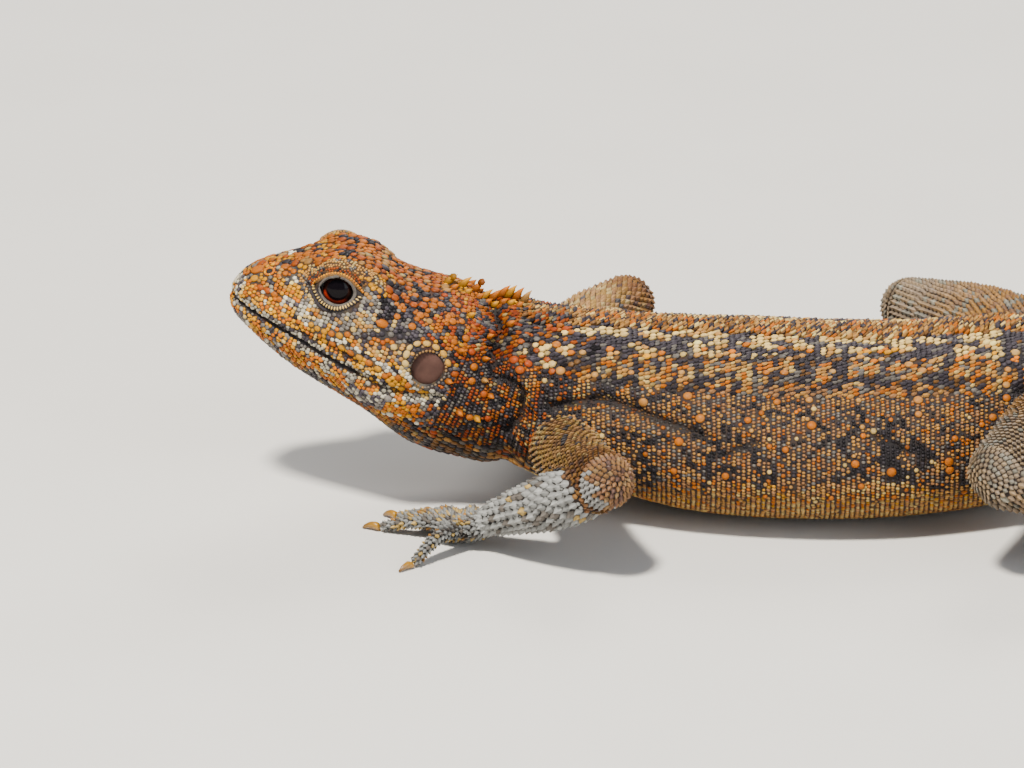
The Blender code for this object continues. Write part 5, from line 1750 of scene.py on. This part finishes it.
# Larger scales of the near side of the head: place in the photo, half length, half width, height, colour
HEAD_SPOTS = (
    (383, 324, 0.85, 0.52, 0.34, ORANGE), (259, 270, 0.95, 0.70, 0.36, ORANGE),
    (256, 279, 0.55, 0.45, 0.30, YELLOW), (366, 336, 0.36, 0.34, 0.28, SLATE),
    (374, 335, 0.38, 0.34, 0.28, SLATE), (383, 334, 0.40, 0.36, 0.28, SLATE),
    (392, 335, 0.40, 0.36, 0.28, GREY), (401, 337, 0.38, 0.36, 0.28, SLATE),
    (373, 343, 0.32, 0.28, 0.24, ORANGE), (384, 343, 0.34, 0.30, 0.24, DEEP_ORANGE),
    (393, 343, 0.32, 0.28, 0.24, ORANGE), (313, 325, 0.38, 0.32, 0.28, YELLOW),
    (319, 329, 0.40, 0.34, 0.28, YELLOW), (326, 332, 0.42, 0.36, 0.30, YELLOW),
    (333, 334, 0.44, 0.36, 0.30, ORANGE), (341, 336, 0.46, 0.38, 0.30, YELLOW),
    (349, 335, 0.42, 0.36, 0.28, ORANGE), (355, 330, 0.38, 0.34, 0.26, CREAM),
    (421, 316, 0.52, 0.46, 0.32, ORANGE), (413, 327, 0.50, 0.44, 0.32, ORANGE),
    (430, 322, 0.42, 0.40, 0.30, TAN), (441, 305, 0.46, 0.42, 0.30, ORANGE),
    (453, 322, 0.50, 0.46, 0.34, ORANGE), (262, 288, 0.50, 0.36, 0.28, DEEP_ORANGE),
    (269, 291, 0.52, 0.38, 0.28, DEEP_ORANGE), (276, 295, 0.50, 0.36, 0.28, ORANGE),
    (281, 300, 0.44, 0.34, 0.26, ORANGE), (326, 341, 0.44, 0.32, 0.28, YELLOW),
    (334, 344, 0.48, 0.34, 0.28, ORANGE), (343, 348, 0.52, 0.36, 0.30, YELLOW),
    (352, 353, 0.52, 0.36, 0.30, ORANGE), (361, 358, 0.54, 0.38, 0.30, YELLOW),
    (370, 363, 0.52, 0.38, 0.30, ORANGE), (379, 369, 0.48, 0.36, 0.28, YELLOW),
    (386, 376, 0.48, 0.36, 0.28, ORANGE), (393, 384, 0.50, 0.38, 0.30, YELLOW),
    (402, 388, 0.50, 0.38, 0.30, YELLOW), (412, 390, 0.52, 0.38, 0.30, ORANGE),
    (422, 391, 0.50, 0.36, 0.28, YELLOW), (466, 339, 0.50, 0.46, 0.50, ORANGE),
    (472, 352, 0.48, 0.44, 0.48, RED_ORANGE), (474, 367, 0.50, 0.46, 0.50, ORANGE),
    (472, 381, 0.46, 0.44, 0.46, ORANGE), (484, 394, 0.48, 0.44, 0.46, DEEP_ORANGE),
    (470, 417, 0.46, 0.42, 0.40, ORANGE), (488, 418, 0.44, 0.40, 0.40, RED_ORANGE),
    (514, 360, 0.62, 0.52, 0.40, RED_ORANGE), (520, 370, 0.60, 0.50, 0.40, DEEP_ORANGE),
    (528, 364, 0.52, 0.46, 0.36, RED_ORANGE), (445, 296, 0.42, 0.38, 0.30, RED_ORANGE),
    (458, 306, 0.44, 0.40, 0.32, ORANGE), (462, 322, 0.42, 0.38, 0.30, ORANGE),
)


def build_head_spots(surface, material):
    """The larger scales of the head and neck, on both sides."""
    coat = Coat("large_head_scales", "skin_head")
    for mirror in (1.0, -1.0):
        places, sizes, colours = [], [], []
        for column, row, length, width, height, colour in HEAD_SPOTS:
            hit = photo_hit(surface.tree, column, row)
            if hit is not None:
                places.append((hit.x, hit.y * mirror, hit.z))
                sizes.append((length, width, height * 0.72))
                colours.append(colour)
        keep, places, normals = surface.settle(np.array(places), 1.5)
        length, width, height = np.array(sizes)[keep].T
        s, h = head_local(places)
        coat.add("large", places, normals, trunk_back(np.clip(s, 0, 30)), length, width, height,
                 np.array(colours)[keep] * HEAD_SPOT_SHADE, s / 30, (h + 10) / 25)
        TAKEN.hold(places, width)
    coat.build(material)


NOSTRIL_PLACE = (271, 272)
NOSTRIL_RADII = (0.42, 0.34, 0.10)


def build_nostrils(surface, skin_look, scales):
    """A near-black flat disc on each side of the snout, painted shade that stands for the nostril's opening,
    with a raised rim of small orange scales.
    """
    coat = Coat("nostril_scales", "skin_head")
    rng = seeded("nostrils")
    hit = photo_hit(surface.tree, *NOSTRIL_PLACE)
    for side, sign in (("left", 1.0), ("right", -1.0)):
        _, places, normals = surface.settle(np.array([(hit.x, hit.y * sign, hit.z)]), 1.5)
        place, normal = places[0], normals[0]
        back = np.array(HEAD_BACK)
        back = back - normal * (back @ normal)
        back /= np.linalg.norm(back)
        above = np.cross(normal, back)
        points, faces = sphere_points(place + normal * 0.02, (back, above, normal), NOSTRIL_RADII, 20, 8)
        hole = mesh_object("nostril_" + side, points, faces, skin_look)
        # Painted shade: the nostril is a flat disc painted near black for the depth of its opening
        paint(hole.data, np.tile(BLACK * 0.12, (len(points), 1)))
        angles = 2 * np.pi * np.arange(15) / 15
        spots = place + np.outer(np.cos(angles) * 0.56, back) + np.outer(np.sin(angles) * 0.46, above)
        keep, places, normals = surface.settle(spots, 1.0)
        colour = pick(rng.random(len(keep)), (0.6, ORANGE), (0.9, YELLOW), TAN)
        coat.add("bead", places, normals, np.tile(back, (len(keep), 1)), 0.19, 0.17, 0.22, colour,
                 angles[keep] / 6.3, 0.5)
        TAKEN.hold(np.array([place]), 0.55)
        TAKEN.hold(places, 0.2)
    coat.build(scales)


def build_spots(surface, material):
    """Large orange and cream round scales of the flanks."""
    coat = Coat("large_scales", "skin_body")
    rng = seeded("spots")
    hits = (photo_hit(surface.tree, *spot) for spot in FLANK_SPOTS)
    near = np.array([hit for hit in hits if hit is not None])
    far = near * np.array([1, -1, 1]) + rng.normal(0, 1.2, near.shape) * np.array([1, 0.2, 0.6])
    for group in (near, far):
        _, places, normals = surface.settle(group, 3.0)
        count = len(places)
        size = 0.36 + 0.20 * rng.random(count)
        light = np.clip((places[:, 2] - 13.5) / 4.0, 0, 1)
        colour = faded(ORANGE, CREAM, light * 0.8 * rng.random(count)) * FLANK_SPOT_SHADE
        coat.add("large", places, normals, np.tile((1.0, 0, 0), (count, 1)), size * 1.08, size, 0.27, colour,
                 (places[:, 0] + 65) / 110, (places[:, 2]) / 30)
        TAKEN.hold(places, size)
    coat.build(material)


# The crest's first and last spine and their number, the spines' height, and cones as t, degrees and height
CREST_START, CREST_END, CREST_COUNT = 21.5, 33.5, 9
CREST_LENGTH = 1.3
NECK_CONES = (
    (24.9, 30.0, 0.9), (25.1, 8.0, 0.9), (28.3, 48.0, 0.9), (28.8, 30.0, 1.0), (29.6, 14.0, 0.9),
    (31.0, 4.0, 0.8), (28.0, -12.0, 0.8), (30.2, -14.0, 0.8), (24.6, 58.0, 0.8), (31.5, 60.0, 0.8),
)


def build_crest(surface, material):
    """The crest spines of the nape and the cone scales behind the ears, where the solids have them."""
    coat = Coat("crest_spines", "skin_neck")
    crest = np.linspace(CREST_START, CREST_END, CREST_COUNT)
    rows = [(t, 90.0, CREST_LENGTH) for t in crest]
    rows += [(t + 0.7, 90.0 + turn, 0.7) for t in crest for turn in (-5, 5)]
    for t, degrees, length in NECK_CONES:
        rows += [(t, degrees, length), (t, 180.0 - degrees, length)]
    middle, side, above = trunk_frames(np.array([r[0] for r in rows]))
    places, outwards = [], []
    for k, (_, degrees, _) in enumerate(rows):
        angle = math.radians(degrees)
        direction = side[k] * math.cos(angle) + above[k] * math.sin(angle)
        outwards.append(direction)
        places.append(surface.tree.ray_cast(Vector(middle[k] + direction * 20), Vector(-direction))[0])
    keep, places, _ = surface.settle(np.array(places), 3.0)
    rows = np.array(rows)[keep]
    count = len(places)
    colour = pick(seeded("crest").random(count), (0.6, ORANGE), (0.9, YELLOW), TAN)
    lean = unit(np.array(outwards)[keep] + np.array((0.40, 0, 0)))
    coat.add("cone", places, lean, np.tile((1.0, 0, -0.2), (count, 1)), 0.50, 0.42, rows[:, 2] * 0.95, colour,
             (rows[:, 0] - 20) / 15, (rows[:, 1] + 20) / 220)
    TAKEN.hold(places, 0.40)
    coat.build(material)


# The ivory scales over the ear, from front to back, by their places in the photo
EAR_RIM = ((407.5, 354.5), (410.5, 348), (418, 344), (427.5, 344), (436.5, 347.5), (444, 354), (448.5, 363))
# The drum's depth in the ear and half sizes, and the number and distance of the beads around it
DRUM_DEPTH, DRUM_RADII = 0.78, (1.9, 2.05, 0.32)
EAR_BEADS, EAR_RING = 34, 2.26


def build_ears(surface, scales, drum):
    """The ear drums, a ring of beads around each, and the long ivory scales on its upper rim."""
    coat = Coat("ear_scales", "skin_head")
    rng = seeded("ears")
    for side in SIDES:
        sign = -1.0 if side == "left" else 1.0
        x, z = head_place(EAR_S, EAR_H)
        back = Vector(HEAD_BACK)
        above = Vector((math.sin(HEAD_PITCH), 0, math.cos(HEAD_PITCH)))
        centre = Vector((x, sign * (EAR_Y - DRUM_DEPTH), z))
        points, faces = sphere_points(centre, (back, above, Vector((0, sign, 0))), DRUM_RADII, 32, 12)
        disc = mesh_object("ear_drum_" + side, points, faces, drum)
        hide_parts("tympanum_" + side)
        angles = np.radians(np.linspace(0, 350, EAR_BEADS))
        spots = np.array([centre + back * (math.cos(a) * EAR_RING * (0.95 - EAR_TAPER * max(0, -math.sin(a))))
                          + above * (math.sin(a) * EAR_RING) + Vector((0, sign * 0.6, 0)) for a in angles])
        keep, places, normals = surface.settle(spots, 2.5)
        tangent = np.array([back * -math.sin(a) + above * math.cos(a) for a in angles])[keep]
        colour = faded(GREY * 0.8, TAN * 0.7, rng.random(len(keep)))
        coat.add("bead", places, normals, tangent, 0.19, 0.17, 0.16, colour,
                 np.linspace(0, 1, EAR_BEADS)[keep], 0.5)
        TAKEN.hold(places, 0.17 * 1.2)
        add_ear_rim(coat, surface, rng, sign)
    coat.build(scales)


def add_ear_rim(coat, surface, rng, sign):
    """The long ivory scales over one ear."""
    rim = []
    for place in EAR_RIM:
        hit = photo_hit(surface.tree, *place)
        rim.append((hit.x, hit.y * -sign, max(hit.z, GROUND)))
    keep, places, normals = surface.settle(np.array(rim), 2.5)
    count = len(keep)
    size = varied(rng, count, 0.10)
    colour = faded(CREAM * 0.9, YELLOW * 0.8, np.linspace(0, 0.8, count))
    coat.add("large", places, normals, np.gradient(places, axis=0), 0.50 * size, 0.36 * size, 0.26, colour,
             np.linspace(0, 1, count), 0.5)
    TAKEN.hold(places, 0.45)


def build_claws(material):
    """Each claw, smoothed from its solid, with the distance to its tip stored."""
    for kind, root in (("finger", "hand_"), ("toe", "foot_")):
        for side in SIDES:
            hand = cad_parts[root + side]
            middle = np.mean([np.array(v.co) / MM for v in hand.data.vertices], axis=0)
            for number in range(1, 6):
                build_claw(f"{kind}_claw_{side}_{number}", middle, material)


def build_claw(name, middle, material):
    """One claw; middle is that of its hand or foot."""
    obj = solid_copy(name, name.replace("claw", "nail"), 0.05)
    add_modifier(obj, "SUBSURF", levels=2, render_levels=2)
    apply_modifiers(obj)
    places = smooth_normals(obj)[0]
    reach = np.linalg.norm(places - middle, axis=1)
    share = (reach - reach.min()) / (reach.max() - reach.min())
    tip = obj.data.attributes.new("tip", "FLOAT", "POINT")
    tip.data.foreach_set("value", (share ** 2).astype(np.float32))
    move_points(obj, places)
    obj.data.materials.clear()
    obj.data.materials.append(material)
    obj.data.shade_smooth()
    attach(obj, "root")
    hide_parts(name)


# How far the bare skin of the body reaches to each side, in mm, over x; beyond it lie the limbs
BODY_EDGE = ((-34, -24, -12, 4, 20, 32), (10.5, 12.8, 16.2, 18, 15.6, 11.0))


def trunk_place(places):
    """Where the nearest section of the trunk lies for each place: t, and degrees around it."""
    t_line = np.arange(-0.5, VENT + TAIL_LENGTH, 1.0)
    middle, side, above = trunk_frames(t_line)
    from_line = np.full(len(places), 1e9)
    best = np.zeros(len(places), int)
    for k in range(len(t_line)):
        distance = np.linalg.norm(places - middle[k], axis=1)
        nearer = distance < from_line
        from_line[nearer] = distance[nearer]
        best[nearer] = k
    offset = places - middle[best]
    rise, across = np.sum(offset * above[best], axis=1), np.sum(offset * side[best], axis=1)
    return t_line[best], np.degrees(np.arctan2(rise, across))


def paint_skin(skin):
    """Gives the bare skin the same markings as the scales, much darker, as painted shade in the gaps between
    the scales.
    """
    places = smooth_normals(skin)[0]
    t, degrees = trunk_place(places)
    chance = hashed(np.floor(places[:, 0] * 2), np.floor(places[:, 2] * 2), 3)
    colour = paint_torso(t, degrees, places, chance)
    head = paint_head(t, degrees, places, chance)
    tail = paint_tail(t, degrees, places, chance)
    colour = either(t < HEAD_END, head, either(t > VENT, tail, colour))
    s, h = head_local(places)
    # Painted shade: the line of the mouth is painted black for the shade in its groove
    colour[(np.abs(h - MOUTH_LEVEL) < 0.3) & (s < MOUTH_CORNER)] = BLACK
    limb = np.abs(places[:, 1]) > np.interp(places[:, 0], *BODY_EDGE)
    colour[limb] = BROWN * 1.6
    colour[limb & (places[:, 0] < 0) & (places[:, 2] < 9)] = GREY * 1.4
    # Painted shade: the bare skin keeps only a small share of its markings over near black, for the shade in
    # the gaps between the scales
    colour = colour * np.where(t < HEAD_END, 0.16, 0.07)[:, None] + BLACK * 0.35
    # Painted shade: the skin in a crease is faded towards black
    paint(skin.data, faded(colour, BLACK * 0.12, creased(places)[1]))


# Stage


def build_stage():
    """Pale floor, soft light and the camera at the photo's angle."""
    bpy.ops.mesh.primitive_plane_add(size=6.0, location=(0, 0, -0.00002))
    floor = bpy.context.active_object
    floor.name = "floor"
    look = plain_material("floor", srgb(205, 202, 196), srgb(212, 209, 204), 40.0, 0.8, 0.02)
    floor.data.materials.append(look)
    world = bpy.data.worlds.new("studio")
    bpy.context.scene.world = world
    world.use_nodes = True
    sky = world.node_tree.nodes["Background"].inputs
    sky["Color"].default_value = (0.80, 0.88, 1.0, 1)
    sky["Strength"].default_value = 0.36
    add_light("key", (-0.20, -0.35, 0.80), 0.10, 20.0, (1.0, 0.95, 0.86))
    add_light("fill", (0.55, -0.6, 0.35), 0.6, 5.0, (0.9, 0.95, 1.0))
    add_light("rim", (0.2, 0.6, 0.5), 0.4, 5.0, (1.0, 0.97, 0.92))
    camera = bpy.data.cameras.new("camera")
    camera.lens = 36.0 * CAMERA_DISTANCE / (1024 / PIXELS_PER_MM * MM)
    camera.sensor_width = 36.0
    camera.clip_start = 0.01
    obj = linked("camera", camera)
    obj.location = Vector(VIEW_MIDDLE) * MM - VIEW * CAMERA_DISTANCE
    obj.rotation_euler = (math.radians(90) - VIEW_ELEVATION, 0, 0)
    bpy.context.scene.camera = obj


def add_light(name, place, size, power, colour):
    """A soft square light that looks at the animal."""
    light = bpy.data.lights.new(name, "AREA")
    light.size = size
    light.energy = power
    light.color = colour
    obj = linked(name, light)
    obj.location = place
    obj.rotation_euler = (Vector((0, 0, 0.01)) - Vector(place)).to_track_quat("-Z", "Y").to_euler()


def main():
    """Builds the animal over its frame and sets the stage."""
    skin = build_skin()
    skin_look = skin_material()
    skin.data.materials.append(skin_look)
    paint_skin(skin)
    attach(skin, "root")
    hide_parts(*FLESH)
    surface = Surface(skin)
    scales = scale_material()
    build_spots(surface, scales)
    build_crest(surface, scales)
    build_ears(surface, scales, plain_material("ear_drum", DRUM_DARK, DRUM_LIGHT, 700.0, 0.45, 0.5))
    build_lid_folds(surface, skin_look)
    build_lid_beads(surface, scales)
    build_nostrils(surface, skin_look, scales)
    build_head_spots(surface, scales)
    lip_rows(surface, scales)
    build_torso_coat(surface, scales)
    build_tail_coat(surface, scales)
    build_head_coat(surface, scales)
    build_limb_coats(surface, scales)
    fill_bare_skin(surface, scales)
    eye = eye_material()
    for side in SIDES:
        build_eye(side, eye)
    build_claws(claw_material())
    build_stage()


main()
